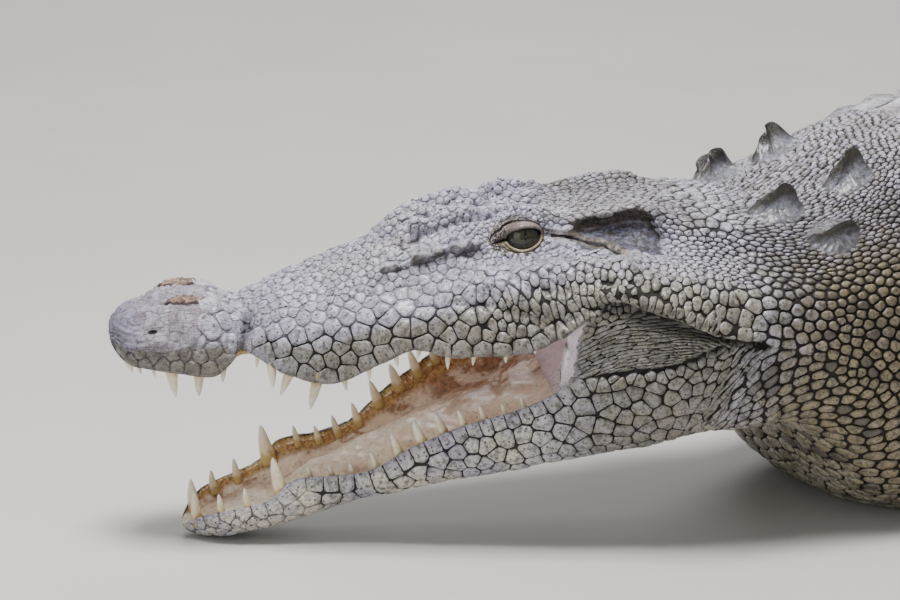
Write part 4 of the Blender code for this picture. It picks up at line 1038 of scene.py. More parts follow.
def grow_scales(name, sheets, seeds, shape, chosen, rings, limit, box, rng):
    """One piece of the coat: on each chosen seed a solid scale, with a skirt under the skin and a crown."""
    frame, size, stretch, manner, edge, angle = shape
    which, s, c = (part[chosen] for part in seeds)
    frame = {key: value[chosen] for key, value in frame.items()}
    size, stretch, edge = size[chosen], stretch[chosen, None], edge[chosen]
    gap, depth, crown, keel, tilt = (manner[key][chosen] for key in ("gap", "depth", "crown", "keel", "tilt"))
    count, turns = edge.shape
    edge = np.maximum(edge - gap[:, None] / 2, edge * .35)
    edge = edge * (1 - .05 * rng.random(edge.shape))
    crown = crown * (.60 + .80 * rng.random(count))
    tone = rng.random((count, 2))
    mean = edge.mean(axis=1)[:, None] + 1e-9
    levels = []
    hub_ring = (edge[:, :1] * 0, 1.0, angle[:1])
    for radius, lift, turn in [(edge * share, lift, angle) for share, lift in rings] + [hub_ring]:
        a = radius * np.cos(turn) * stretch
        b = radius * np.sin(turn) / stretch
        if lift < 0:
            high = -(depth * 1.6)[:, None] + 0 * a
        else:
            ridge = np.exp(-(b / (mean * .30)) ** 2) * (1 - .55 * (np.abs(a) / (mean * stretch)))
            high = (-.35 * depth[:, None] * (1 - lift) + crown[:, None] * lift
                    + keel[:, None] * ridge * lift + tilt[:, None] * a / mean * lift)
        levels.append((*to_plan(frame, a, b), high, 0 * a + max(lift, 0.0), a, b))
    ds, dc, high, rise, own_a, own_b = (np.concatenate(part, 1) for part in zip(*levels))
    s0, c0 = s[:, None] + 0 * ds, c[:, None] + 0 * dc
    vs, vc = limit(which[:, None], s0 + ds, c0 + dc, s0, c0)
    points, normal = (read_all(sheets, which, field, vs, vc) for field in ("point", "normal"))
    points = points + normal * high[..., None]
    points[..., 2] = np.maximum(points[..., 2], .0002)
    per = points.shape[1]
    one = grid_faces(len(rings), turns, closed=True)
    hub = fan(range((len(rings) - 1) * turns, len(rings) * turns), len(rings) * turns)
    start = (np.arange(count) * per)[:, None, None]
    sign = np.array([sheet.sign for sheet in sheets])[which]
    faces = []
    for wanted in (1, -1):
        for block in (one, hub):
            faces.append((block[:, ::-wanted][None] + start[sign == wanted]).reshape(-1, block.shape[1]))
    body_s, body_c, uv = box(np.repeat(which, per), vs.ravel(), vc.ravel())
    points = points.reshape(-1, 3)
    patch = Patch()
    patch.add(points, faces, plan=stack(body_s, body_c, np.repeat(sign, per)), uv=uv,
              tone=stack(np.repeat(tone[:, 0], per), rise.ravel(), np.repeat(tone[:, 1], per)),
              marks=markings_and_painted_shading(body_s, body_c, points),
              own=stack(own_a.ravel(), own_b.ravel(), neck_share(body_s, body_c)))
    COAT.append(patch.build(name, [HIDE], uv=True))


SIDES = [FLANKS[1], FLANKS[-1]]
NECK_SIZE = ((0, .0105), (2, .0106), (3.5, .0132), (5, .0160), (6.5, .0200), (8.5, .0240), (10, .0260))
EYE_GRAIN = .0056


def worn_share(s, c):
    """1 where the hide is rubbed smooth and its cracks are shallow: the top of the snout and its tip."""
    return np.maximum((1 - smooth(3.2, 3.9, c)) * (1 - smooth(.60, .68, s)), 1 - smooth(.155, .175, s))


def front_style(which, s, c, at):
    """Size, stretch and manner of the scales of head, jaw and neck."""
    upper = (1 - smooth(2.6, 3.4, c)) * between(s, .16, .50, .04)
    table = (1 - smooth(2.2, 2.8, c)) * between(s, .50, .66, .02)
    temple = between(c, 2.3, 3.9, .2) * between(s, .50, .70, .015)
    cheek = between(c, 3.7, 5.25, .2) * between(s, .43, .67, .02)
    below = c - curve(CHEEK_CREASE, s)
    band = between(below, -.62, -.02, .08) * between(s, .45, .655, .015)
    above_fold = curve(MANDIBLE_FOLD, s) - c
    corner = between(below, .10, 1.6, .10) * between(above_fold, .06, 2.0, .10) * between(s, .515, .70, .012)
    plate = between(above_fold, -.55, -.05, .08) * between(s, .545, .672, .012)
    mandible = between(c, 6.5, 8.4, .3) * between(s, .12, .62, .04)
    lip = np.maximum(between(c, 6.0, 6.35, .08), between(c, 4.62, 5.0, .08)) * (1 - smooth(.46, .53, s))
    neck = neck_share(s, c)
    nape = neck * (1 - smooth(2.4, 4.0, c)) * (1 - smooth(.80, .92, s))
    folds = bell(s - curve(NECK_LINE, c), .010, .020) * between(c, 5.8, 9.2, .3)
    tip = 1 - smooth(.06, .14, s)
    size = mix(.0255 + 0 * s, .0115, upper)
    for wanted, share in ((.0092, table), (.0085, temple), (.0148, cheek), (.0176, band), (.0100, corner),
                          (.0195, plate), (.0270, mandible), (.0200, lip), (.0150, tip)):
        size = mix(size, wanted, share)
    size = mix(size, curve(NECK_SIZE, c), neck)
    size = mix(size, .0088, np.maximum(nape * .9, folds * .8))
    size = size * (1 + .24 * lumps(at, .021, 4.0) + .18 * lumps(at, .048, 8.0))
    grain = np.zeros_like(size)
    for k, side in enumerate((1, -1)):
        x, y, z = eye_plane(side, at)
        close = (1 - smooth(.02, .75, lid_reach(x, y))) * (z > -.01)
        grain = np.where(which == k, np.maximum(grain, close), grain)
    size = mix(size, EYE_GRAIN, grain)
    bar = (along_line(RIDGE_LINE, s, c, .11) > .5) & (s > .305) & (s < .440) & (grain < .4)
    size = np.where(bar, .0230, size)
    stretch = 1 + neck * (.12 * between(c, 3, 5, .5) - .22 * smooth(5.2, 6.2, c))
    for wanted, share in ((1.35, table), (1.30, temple), (2.35, corner), (.82, cheek), (.66, band),
                          (1.05, lip), (1.55, nape), (.42, folds), (1.0, grain)):
        stretch = mix(stretch, wanted, share)
    stretch = np.where(bar, 1.85, stretch)
    rough = np.maximum.reduce([upper, table, temple, tip, nape])
    plates = 1 - np.maximum.reduce([rough, neck, grain, cheek * (1 - .7 * band)])
    worn_and_toplit = worn_share(s, c)
    dome = mix(mix(.085 + 0 * s, .050, plates), .040, worn_and_toplit * (1 - grain))
    gap = mix(mix(.0007 + 0 * s, .0004, rough), .0022, neck * smooth(1.8, 4.0, c) * (1 - nape) * (1 - folds))
    manner = {"gap": np.where(bar, .0022, mix(gap, .0007, grain)), "round": 1 - .8 * plates,
              "depth": curve(COAT_DEPTH, s) * mix(1.0, .8, grain) * (1 - .55 * worn_and_toplit * (1 - grain)),
              "crown": np.where(bar, .0055, dome * size), "keel": .0006 * rough, "tilt": .0003 * neck}
    return size, stretch, manner


def front_limit(which, s, c, s0, c0):
    """Keep seeds and scale edges on the outside of the lips and within the front of the body."""
    c = np.clip(c, -1.1, 11.1)
    cut = s0 < WEB_END
    c = np.where(cut & (c0 <= 5.0), np.minimum(c, 5.0), c)
    c = np.where(cut & (c0 >= 6.0), np.maximum(c, 6.0), c)
    within = ~cut & (c0 > 5.0) & (c0 < 6.0)
    s = np.where(within, np.maximum(s, WEB_END), s)
    return np.clip(s, .0030, 1.000), c


def seed_limit(which, s, c, s0, c0):
    s, c = front_limit(which, s, c, s0, c0)
    return np.clip(s, .006, .985), np.clip(c, .02, 9.98)


def bare_at(which, s, c, at):
    """The bareness of places on either flank."""
    return np.where(which == 0, bareness(1, s, c, at), bareness(-1, s, c, at))


def front_density(which, s, c, at):
    open_web = (c > 5) & (c < 6) & (s < WEB_END + .005)
    good = (c >= 0) & (c <= 10) & (s < .985) & (bare_at(which, s, c, at) < .55) & ~open_web
    return good / front_style(which, s, c, at)[0] ** 2 * 1.16


def flank_box(start, end, low, high):
    """Where the coat's vertices lie on the body and on the unwrap, for a span of one flank."""
    def box(which, s, c):
        return s, c, np.clip(stack((s - start) / (end - start), (c - low) / (high - low)), 0, 1) * .98 + .01
    return box


FINE_RINGS = ((1.0, -1), (.992, 0.0), (.945, .50), (.62, .93))
SMALL_RINGS = ((1.0, -1), (.955, 0.1), (.62, .85))
FRONT_TURNS, BODY_TURNS, SMALL_TURNS = 22, 16, 12
HEAD_END = .66
COAT = []


UPPER_EDGE, LOWER_EDGE = ((0, 5.0), (1, 5.0)), ((0, 6.0), (1, 6.0))
# (line, distance of the seeds below it, start, end, pitch) of each row
LIP_ROWS = ((UPPER_EDGE, -.0100, .010, .140, .0175), (UPPER_EDGE, -.0100, .160, .525, .0220),
            (LOWER_EDGE, .0090, .010, .545, .0190), (CHEEK_CREASE, -.0110, .400, .660, .0140),
            (MANDIBLE_FOLD, .0100, .548, .668, .0175), (MANDIBLE_FOLD, -.0070, .548, .664, .0135))


def lip_rows(rng):
    """Seeds in rows along the upper lip, the lower lip and over the cheek's crease."""
    found = []
    for line, offset, start, end, pitch in LIP_ROWS:
        for k, sheet in enumerate(SIDES):
            s = np.arange(start + pitch / 2, end, pitch)
            s = s + (rng.random(len(s)) - .5) * pitch * .22
            width = np.linalg.norm(sheet.read("around", s, curve(line, s) + offset * 10), axis=-1)
            found.append((np.full(len(s), k), s, curve(line, s) + offset / width))
    return gather(found)


def grow_front_coat():
    """Scales of head, jaws and neck, both sides."""
    rng = np.random.default_rng(41)
    strewn = scatter(SIDES, front_density, rng)
    keep = (strewn[2] > 0) & (strewn[2] < 10)
    bars = np.repeat(RIDGE_BARS, 2)
    bar_seeds = np.tile((0, 1), len(RIDGE_BARS)), bars, curve(RIDGE_LINE, bars)
    planted = lip_rows(rng)
    seeds = gather((bar_seeds, planted, [part[keep] for part in strewn]))
    seeds = relax(SIDES, seeds, front_style, seed_limit, 9, len(bars) + len(planted[0]))
    keep = bare_at(*seeds, read_all(SIDES, seeds[0], "point", *seeds[1:])) < .5
    keep[:len(bars)] = True
    which, s, c = seeds = tuple(part[keep] for part in seeds)
    shape = outlines(SIDES, seeds, front_style, FRONT_TURNS)
    small = shape[1] < .0080
    free = np.arange(len(s)) >= len(bars)
    front = s < HEAD_END
    parts = (("head", front & (c < 5.5) & ~small, (0, .68, -.2, 5.7)),
             ("brow", front & small, (.42, .56, 1.2, 4.0)),
             ("jaw", front & (c >= 5.5) & ~small, (0, .68, 5.2, 10.2)),
             ("nape", ~front & (c < 4), (.64, 1.0, -.2, 4.3)),
             ("neck", ~front & (c >= 4), (.64, 1.0, 3.7, 10.2)))
    for name, chosen, span in parts:
        rings = SMALL_RINGS if name in ("brow", "nape") else FINE_RINGS
        for k, hand in enumerate(("left", "right")):
            grow_scales("coat_%s_%s" % (name, hand), SIDES, seeds, shape, chosen & (which == k) & free, rings,
                        front_limit, flank_box(*span), rng)


# ---------------------------------------------------------------- rows of scutes on trunk and tail
def scute_rows(spans, rng):
    """Seeds in rows round the body: spans of (start, end, pitch, place from, place to, width, jitter)."""
    found = []
    for start, end, pitch, low, high, wide, jitter in spans:
        number = 0
        s = start + pitch / 2
        while s < end:
            shrink = float(curve(BODY_W, s)) / .30 if s > 2.3 else 1.0
            step = max(wide * min(1.0, .30 + .70 * shrink), .012)
            for k, sheet in enumerate(SIDES):
                c = np.linspace(low, high, 160)
                width = np.linalg.norm(sheet.read("around", np.full(160, s), c), axis=-1)
                walk = np.concatenate(([0], np.cumsum(width[1:] * np.diff(c)))) / step
                count = max(1, round(walk[-1]))
                shift = .5 if low == 0 or number % 2 else .02
                at = (np.arange(count) + shift) / count * walk[-1]
                jog = (rng.random((2, count)) - .5) * jitter
                found.append((np.full(count, k), s + jog[0] * pitch,
                              np.interp(at, walk, c) + jog[1] * (high - low) / count))
            number += 1
            s += pitch * (1.0 if s < 2.3 else .55 + .45 * shrink)
    return gather(found)


TAIL_START = 2.36
SCUTE_SPANS = ((.985, TAIL_START, .064, 0, 2.9, .058, .10), (.985, 1.13, .027, 2.9, 7.3, .026, .50),
               (1.13, TAIL_START, .034, 2.9, 7.3, .033, .45), (.985, TAIL_START, .042, 7.3, 10, .040, .12),
               (TAIL_START, 4.58, .040, 0, 10, .036, .10))


def body_style(which, s, c, at):
    tail = smooth(2.34, 2.38, s)
    back = (1 - smooth(2.8, 3.0, c)) * (1 - tail)
    side = between(c, 3.0, 7.2, .1) * (1 - tail)
    thin = np.clip(curve(BODY_W, s) / .17, .14, 1)
    size = mix(.041 + 0 * s, .032 - .006 * (1 - smooth(1.10, 1.16, s)), side)
    size = mix(mix(size, .066, back), .044 * thin, tail)
    upper_tail = tail * (1 - smooth(5, 7, c)) * thin
    manner = {"gap": mix(.0030 + 0 * s, .0050, side) * mix(1, thin, tail), "depth": curve(COAT_DEPTH, s),
              "round": .3 + .7 * side, "crown": size * mix(.05, .12, side),
              "keel": .010 * back + .0050 * upper_tail, "tilt": .0022 * back + .0008 * upper_tail}
    return size, 1.0 + .12 * side, manner


def body_limit(which, s, c, s0, c0):
    return np.clip(s, .978, 4.588), np.clip(c, -1.1, 11.1)


def grow_body_coat():
    rng = np.random.default_rng(43)
    which, s, _ = seeds = scute_rows(SCUTE_SPANS, rng)
    shape = outlines(SIDES, seeds, body_style, BODY_TURNS)
    for name, low, high, rings in (("trunk", 0, TAIL_START, FINE_RINGS),
                                   ("tail", TAIL_START, 9, SMALL_RINGS)):
        box = flank_box(max(low - .04, .96), min(high + .04, TOTAL_LENGTH), -.4, 10.4)
        for k, hand in enumerate(("left", "right")):
            grow_scales("coat_%s_%s" % (name, hand), SIDES, seeds, shape,
                        (s >= low) & (s < high) & (which == k), rings, body_limit, box, rng)


# ---------------------------------------------------------------- legs and feet
# (distance, side, height above the floor) of each joint, then half-widths there
FORELEG = {
    "path": ((1.13, .150, .190), (1.15, .235, .175), (1.235, .345, .150), (1.240, .392, .120),
             (1.145, .435, .072), (1.080, .452, .040)),
    "wide": (.060, .068, .056, .050, .040, .034), "tall": (.075, .080, .062, .054, .038, .028),
    "turnout": 22.0, "spread": 88.0, "foot": .070, "toes": (.072, .088, .092, .080, .060), "claws": 3,
}
HINDLEG = {
    "path": ((2.245, .110, .200), (2.225, .215, .190), (2.090, .350, .168), (2.060, .420, .138),
             (2.125, .500, .082), (2.140, .560, .046)),
    "wide": (.085, .100, .074, .062, .046, .038), "tall": (.105, .108, .082, .068, .048, .036),
    "turnout": 68.0, "spread": 46.0, "foot": .105, "toes": (.115, .135, .135, .110), "claws": 3,
}
LEG_ROWS, PALM_ROWS, TOE_ROWS = 46, 20, 26
LEG_COLUMNS = 48
LEG_DEPTH = .0022
FOOT_DEPTH = LEG_DEPTH * .6
LIMB_TURNS = 20
PALM_SHAPE = ((0, 1.0, 1.0), (.25, 1.0, 1.0), (.62, 1.25, .80), (1.0, 1.45, .55))
TOE_SHAPE = ((0, .0145), (.35, .0150), (.7, .0125), (.95, .0105), (1.0, .0060))


def tube(middles, level, upright, wide, tall, sign, bumps):
    """A sheet wrapped round a row of middles, with flat underside on the floor."""
    turn = np.linspace(-.35, 2 * math.pi + .35, LEG_COLUMNS + 1)
    points = (middles[:, None] + level[:, None] * (wide[:, None] * np.cos(turn))[..., None]
              + upright[:, None] * (tall[:, None] * np.sin(turn))[..., None])
    sheet = Sheet(np.linspace(0, 1, len(middles)), turn, points, sign)
    points = points + sheet.fields["normal"] * (bumps * lumps(points, .045, 3.0))[..., None]
    points[..., 2] = np.maximum(points[..., 2], .0006)
    sheet.measure(points)
    return sheet


def limb_sheets(leg, side):
    """The leg, the palm and each toe as sheets, and where each claw grows."""
    steps = np.linspace(0, len(leg["path"]) - 1, LEG_ROWS)
    *route, wide, tall = (curve(list(enumerate(knots)), steps)
                          for knots in (*zip(*leg["path"]), leg["wide"], leg["tall"]))
    route = np.stack(route, 1)
    route[:, 2] -= curve(AXIS_HEIGHT, route[:, 0])
    route[:, 1] *= side
    middles = place(route)
    along = unit(np.gradient(middles, axis=0))
    level = unit(np.cross(along, UPWARD))
    sheets = [tube(middles, level, np.cross(level, along), wide, tall, -1, .0040)]
    wrist = middles[-1]
    heading = math.pi + side * math.radians(leg["turnout"])
    ahead = np.array((math.cos(heading), math.sin(heading), 0.0))
    flat_cross = np.array((-ahead[1], ahead[0], 0.0))
    cross = flat_cross * (1.0 if flat_cross @ level[-1] > 0 else -1.0)
    shares = np.linspace(0, 1, PALM_ROWS)
    palm = leg["foot"]
    middles = wrist + ahead * (palm * shares)[:, None]
    middles[:, 2] = np.maximum(mix(wrist[2], .014, shares), .012)
    wide = leg["wide"][-1] * curve([(a, b) for a, b, _ in PALM_SHAPE], shares)
    tall = leg["tall"][-1] * curve([(a, b) for a, _, b in PALM_SHAPE], shares)
    tall = tall * np.sqrt(1 - np.clip((shares - .86) / .145, 0, 1) ** 2)
    sheets.append(tube(middles, np.tile(cross, (PALM_ROWS, 1)), np.tile(UPWARD, (PALM_ROWS, 1)), wide, tall,
                       -1 if np.cross(ahead, cross)[2] < 0 else 1, .0012))
    shares = np.linspace(0, 1, TOE_ROWS)
    radius = curve(TOE_SHAPE, shares) * (1 + .10 * np.cos(shares * 6 * math.pi))
    claws = []
    count = len(leg["toes"])
    for n, length in enumerate(leg["toes"]):
        turn = math.radians(leg["spread"]) * (n / (count - 1) - .5) * side * -1
        direction = ahead * math.cos(turn) + flat_cross * math.sin(turn)
        root = wrist + ahead * palm * .55 + flat_cross * math.sin(turn) * leg["wide"][-1] * 1.1
        root[2] = .020
        end = root + direction * (palm * .45 + length)
        end[2] = .011
        middles = root + (end - root) * shares[:, None]
        toe_cross = np.tile(np.cross(direction, UPWARD), (TOE_ROWS, 1))
        sheets.append(tube(middles, toe_cross, np.tile(UPWARD, (TOE_ROWS, 1)), radius, radius, -1, .0006))
        if n < leg["claws"]:
            claws.append((end, direction))
    return sheets, claws


LIMBS = [(name, hand, limb_sheets(leg, side)) for name, leg in (("foreleg", FORELEG), ("hindleg", HINDLEG))
         for hand, side in (("left", 1), ("right", -1))]


def limb_place(count):
    """Body place for the hide's pattern and painted shading, and the unwrap: one strip of the square to each
    sheet.
    """
    def box(which, s, c):
        uv = stack((which + .04 + .92 * s) / count, .5 + .46 * (c - math.pi) / (math.pi + .4))
        return 1.35 + 0 * s, 4.2 + 2.0 * (np.sin(c) < -.3), uv
    return box


def limb_style(which, s, c, at):
    size = np.where(which == 0, .0260 - .0090 * s, np.where(which == 1, .0135, .0098))
    upper = between(c, .2, 2.9, .3)
    manner = {"gap": size * .06, "round": .6 + 0 * s, "depth": np.where(which == 0, LEG_DEPTH, FOOT_DEPTH),
              "crown": size * .08, "keel": .0016 * upper * (which == 0), "tilt": .0010 * (which == 0)}
    return size, 1.0 + .15 * (which == 0), manner


def limb_limit(which, s, c, s0, c0):
    return np.clip(s, 0, 1), np.clip(c, -.34, 2 * math.pi + .34)


def limb_seed_limit(which, s, c, s0, c0):
    return np.clip(s, .02, .985), np.mod(c, 2 * math.pi)


def limb_density(which, s, c, at):
    size = limb_style(which, s, c, at)[0]
    return ((c >= 0) & (c < 2 * math.pi) & (s > .02)) / size ** 2 * 1.14


def add_limbs(patch):
    """The skin of legs, palms and toes."""
    turn = np.linspace(0, 2 * math.pi, LIMB_TURNS, endpoint=False)
    for _, hand, (sheets, _) in LIMBS:
        for k, sheet in enumerate(sheets):
            s, c = np.meshgrid(np.append(sheet.rows[:-1:2], 1.0), turn, indexing="ij")
            points = sheet.read("point", s, c) - sheet.read("normal", s, c) * (FOOT_DEPTH if k else LEG_DEPTH)
            points[..., 2] = np.maximum(points[..., 2], .0003)
            points, faces = capped(points, sheet.sign > 0, points[0].mean(axis=0), points[-1].mean(axis=0))
            body_s, body_c, _ = limb_place(1)(k, np.append(s.ravel(), (0, 1)), np.append(c.ravel(), (0, 0)))
            patch.add(points, faces, plan=stack(body_s, body_c, 1 if hand == "left" else -1),
                      tone=np.tile((.5, 0, 0), (len(points), 1)), marks=markings_and_painted_shading(body_s, body_c, points))


def grow_limb_coats():
    rng = np.random.default_rng(47)
    for name, hand, (sheets, _) in LIMBS:
        seeds = scatter(sheets, limb_density, rng)
        seeds = relax(sheets, seeds, limb_style, limb_seed_limit, 8)
        shape = outlines(sheets, seeds, limb_style, SMALL_TURNS)
        turned = read_all(sheets, seeds[0], "run", seeds[1], seeds[2])
        axis = sum(read_all(sheets, seeds[0], "run", seeds[1], 0 * seeds[2] + turn)
                   for turn in (0, math.pi / 2, math.pi, 3 * math.pi / 2)) / 4
        chosen = (turned * axis).sum(-1) > .22 * (axis * axis).sum(-1)
        grow_scales("coat_%s_%s" % (name, hand), sheets, seeds, shape, chosen, SMALL_RINGS, limb_limit,
                    limb_place(len(sheets)), rng)


# ---------------------------------------------------------------- teeth and claws
def horn(patch, root, direction, bend, length, radius, flat, turns, levels, seed, sweep=.20):
    """A curved pointed shape from root to tip, flattened a little across."""
    direction = unit(direction)
    helper = unit(np.cross(direction, bend))
    other = np.cross(helper, direction)
    t = np.linspace(0, 1, levels)
    spine_line = root + direction * (length * t)[:, None] + bend * (length * sweep * t ** 2)[:, None]
    girth = radius * (1 - t ** 1.9) ** .62 * (1 - .10 * t)
    turn = np.linspace(0, 2 * math.pi, turns, endpoint=False)
    rings = (spine_line[:, None] + helper * (girth[:, None] * np.cos(turn) * flat)[..., None]
             + other * (girth[:, None] * np.sin(turn))[..., None])
    tip = (levels - 1) * turns
    tone = stack(np.append(np.repeat(t[:-1], turns), 1.0), seed, np.append(np.tile(turn, levels - 1), 0))
    patch.add(np.concatenate([rings[:-1].reshape(-1, 3), spine_line[-1:]]),
              [grid_faces(levels - 1, turns, closed=True), fan(range(tip - turns, tip), tip),
               np.arange(turns)[None, ::-1]], tone=tone)


HORN_LEVELS = 12
TOOTH_ROOT, TOOTH_TURNS = .012, 18
CLAW_LENGTH, CLAW_RADIUS, CLAW_TURNS = .042, .0082, 16


def add_teeth(name, teeth, upper):
    """Every tooth of one jaw as its own curved cone, rooted in the gum."""
    rng = np.random.default_rng(53 if upper else 59)
    patch = Patch()
    s, lengths = np.array(teeth).T
    line = controls(s)[:, UPPER_LIP if upper else LOWER_LIP]
    lean, stand = (-.11, -1.0) if upper else (-math.sin(GAPE), math.cos(GAPE))
    for length, base in zip(lengths, line):
        for sign in (1, -1):
            root = base * np.array((1.0, sign, 1.0))
            root[1] -= sign * .0075
            splay = .08 + .03 * rng.standard_normal()
            direction = np.array((lean + .03 * rng.standard_normal(), splay * sign, stand))
            low = root - direction * TOOTH_ROOT
            ends = place(np.array([low, low + direction, low + np.array((1.0, -.35 * sign, 0.0))]))
            horn(patch, ends[0], ends[1] - ends[0], unit(ends[2] - ends[0]),
                 (length + TOOTH_ROOT) * (1 + .06 * rng.standard_normal()), .0012 + length * .21, .86,
                 TOOTH_TURNS, HORN_LEVELS, rng.random(), .05)
    return patch.build(name, [TOOTH])


def add_claws():
    patch = Patch()
    rng = np.random.default_rng(61)
    for _, _, (_, claws) in LIMBS:
        for end, direction in claws:
            horn(patch, end - direction * .010 + UPWARD * .001, direction - UPWARD * .10, -UPWARD,
                 CLAW_LENGTH, CLAW_RADIUS, .75, CLAW_TURNS, HORN_LEVELS, rng.random())
    return patch.build("claws", [CLAW])


# ---------------------------------------------------------------- eyeballs
EYE_RINGS, EYE_TURNS = 60, 96


def add_eye(name, side):
    """An eyeball with a slightly bulging cornea; its painted places are in units of its radius."""
    centre, rear, above, outward = EYES[side]
    turn = np.linspace(0, 2 * math.pi, EYE_TURNS, endpoint=False)
    a, b = np.meshgrid(np.linspace(.02, math.pi - .02, EYE_RINGS), turn, indexing="ij")
    ways = stack(np.sin(a) * np.cos(b), np.sin(a) * np.sin(b), np.cos(a))
    radius = EYE_RADIUS * (1 + .020 * np.exp(-(a / .62) ** 4))
    points, faces = capped(centre + (radius[..., None] * ways) @ np.array((rear, above, outward)), side < 0,
                           centre + outward * EYE_RADIUS * 1.020, centre - outward * EYE_RADIUS)
    patch = Patch()
    patch.add(points, faces, tone=np.concatenate([ways.reshape(-1, 3), [(0, 0, 1), (0, 0, -1)]]))
    return patch.build(name, [EYE])


# ---------------------------------------------------------------- tongue, nape scutes and tail crest
TONGUE_ROWS, TONGUE_COLUMNS, TONGUE_REACH = 120, 44, .66


def add_tongue():
    """The tongue, lying in the mouth's floor, as a dome over a flat underside."""
    s = np.linspace(.13, .498, TONGUE_ROWS)
    across = np.linspace(TONGUE_REACH, -TONGUE_REACH, TONGUE_COLUMNS)
    points = controls(s)
    _, bed = lining(s, points[:, UPPER_LIP], points[:, LOWER_LIP], across)
    lift = np.array((math.sin(-GAPE), 0.0, math.cos(GAPE)))
    bed[..., 1] *= np.clip((s - .12) / .06, .35, 1.0)[:, None]
    dome = .003 + .016 * (1 - (np.abs(across) / TONGUE_REACH) ** 2.4)[None]
    dome = dome * (np.sqrt(np.clip((s - .128) / .05, 0, 1)) * (1 - .9 * smooth(.44, .498, s)))[:, None]
    dome = dome + .0016 * lumps(bed, .018, 4.0) + .0010 * lumps(bed, .007, 7.0)
    patch = Patch()
    for height, flip in ((dome[..., None], False), (-.004, True)):
        patch.add(place(bed + lift * height), [grid_faces(TONGUE_ROWS, TONGUE_COLUMNS, flip)],
                  plan=stack(s[:, None], across, 3.0))
    return patch.build("tongue_flesh", [MOUTH])


CREST_START, CREST_JOIN, CREST_END, CREST_PITCH = 2.30, 3.42, 4.53, .0645
FIN_ROWS, FIN_COLUMNS = 13, 9


def add_crest():
    """Upright fins along the tail: two rows that draw together, then one."""
    patch = Patch()
    rng = np.random.default_rng(67)
    number = 0
    s = CREST_START
    while s < CREST_END:
        growth = float(smooth(CREST_START - .1, CREST_JOIN, s)) * float(1 - .90 * smooth(4.1, CREST_END, s))
        height = (.016 + .048 * growth) * (1 + .07 * rng.standard_normal())
        double = s < CREST_JOIN - .02
        apart = (.012 + .050 * float(1 - smooth(CREST_START, CREST_JOIN, s))) if double else 0.0
        for side in ((1, -1) if double else (0,)):
            a, b = np.meshgrid(np.linspace(-.56, .66, FIN_ROWS) * CREST_PITCH, np.linspace(0, 1, FIN_COLUMNS),
                               indexing="ij")
            back = (a / CREST_PITCH + .56) / 1.22
            outline = np.where(back < .74, np.sin(back / .74 * math.pi / 2) ** .85,
                               np.sqrt(np.clip(1 - ((back - .74) / .26) ** 2, 0, 1)))
            high = b * (outline * height + .006) - .008 * (1 - b)
            distance = s + a + .30 * CREST_PITCH * b * outline
            thick = (.0060 * (1 - .75 * b)) * np.sqrt(np.clip(1 - (2 * back - 1) ** 4, .02, 1))
            top = curve(BACK_HEIGHT, distance) - curve(AXIS_HEIGHT, distance) - (.014 if double else .004)
            top = top - abs(apart) * .25
            for face in (1, -1):
                bump = .0010 * lumps(stack(distance, b, 0.0), .012, number * 1.7)
                points = place(stack(distance, apart * side + face * (thick + bump * (1 - b)), top + high))
                patch.add(points, [grid_faces(FIN_ROWS, FIN_COLUMNS, face > 0)],
                          plan=stack(distance, 0.0, face), marks=markings_and_painted_shading(distance, 0 * a + 1.0, points),
                          tone=stack(.3 + .4 * rng.random(), .35 + .65 * b, rng.random()))
        number += 1
        s += CREST_PITCH
    return patch.build("tail_crest", [SCUTE], merge=.0004)


NUCHAL_RINGS, NUCHAL_TURNS = 25, 88
NUCHAL_SCUTES = ((.757, .074, .024), (.757, -.074, .024), (.845, .070, .024), (.845, -.070, .024),
                 (.790, .140, .016), (.790, -.140, .016))


def add_nuchals():
    """Low keeled cones standing on the nape."""
    patch = Patch()
    rng = np.random.default_rng(71)
    shares = np.linspace(0, 1, NUCHAL_RINGS)
    turn = np.linspace(0, 2 * math.pi, NUCHAL_TURNS, endpoint=False)
    for s0, w0, height in NUCHAL_SCUTES:
        side = 1 if w0 > 0 else -1
        c = np.linspace(0, 4.9, 200)
        wide = controls(np.array([s0]))
        line = np.array([any_ring_point(wide, np.array([s0]), value)[0, 1] for value in c])
        place_c = float(np.interp(abs(w0), line, c))
        frame = frames([FLANKS[side]], np.zeros(1, int), np.array([s0]), np.array([place_c]))
        radius = .90 + .08 * rng.random(len(turn))
        a = .040 * shares[:, None] * np.cos(turn) * radius
        b = .034 * shares[:, None] * np.sin(turn) * radius
        ds, dc = to_plan(frame, a.reshape(1, -1), b.reshape(1, -1))
        vs, vc = (s0 + ds).reshape(a.shape), (place_c + dc).reshape(a.shape)
        base, normal = surface(side, vs, vc)
        out = np.broadcast_to(shares[:, None], a.shape)
        ridge = np.exp(-(np.abs(b) / .0052) ** 1.5)
        peak = .34 + .66 * smooth(-.036, .020, a) - .70 * smooth(.022, .032, a)
        body = (1 - out ** 2.0) * .30 + 1.05 * ridge * (1 - out ** 3.0) * peak
        grooves = np.abs(np.sin(9 * turn + 2 * lumps(base, .02, 5.0))) ** .6 * out * (1 - out ** 8)
        high = height * 1.15 * body - .0040 * out ** 14 - .0026 * grooves
        high = high + .0014 * lumps(base, .007, 2.0) * (1 - out ** 6)
        points = base + normal * high[..., None]
        # keel_shade: painted shade, darkest along each scute's keel
        keel_shade = np.clip(ridge * 1.2 + .45 * smooth(.0, .020, -b * np.sign(b + 1e-9)), 0, 1)
        keel_shade = keel_shade * (1 - .7 * out ** 2)
        patch.add(points, [grid_faces(NUCHAL_RINGS, NUCHAL_TURNS, side < 0, closed=True)],
                  plan=stack(vs, vc, side), tone=stack(keel_shade, 1 - out ** 9, rng.random()),
                  marks=markings_and_painted_shading(vs, vc, points))
    return patch.build("nape_scutes", [SCUTE], merge=.0002)


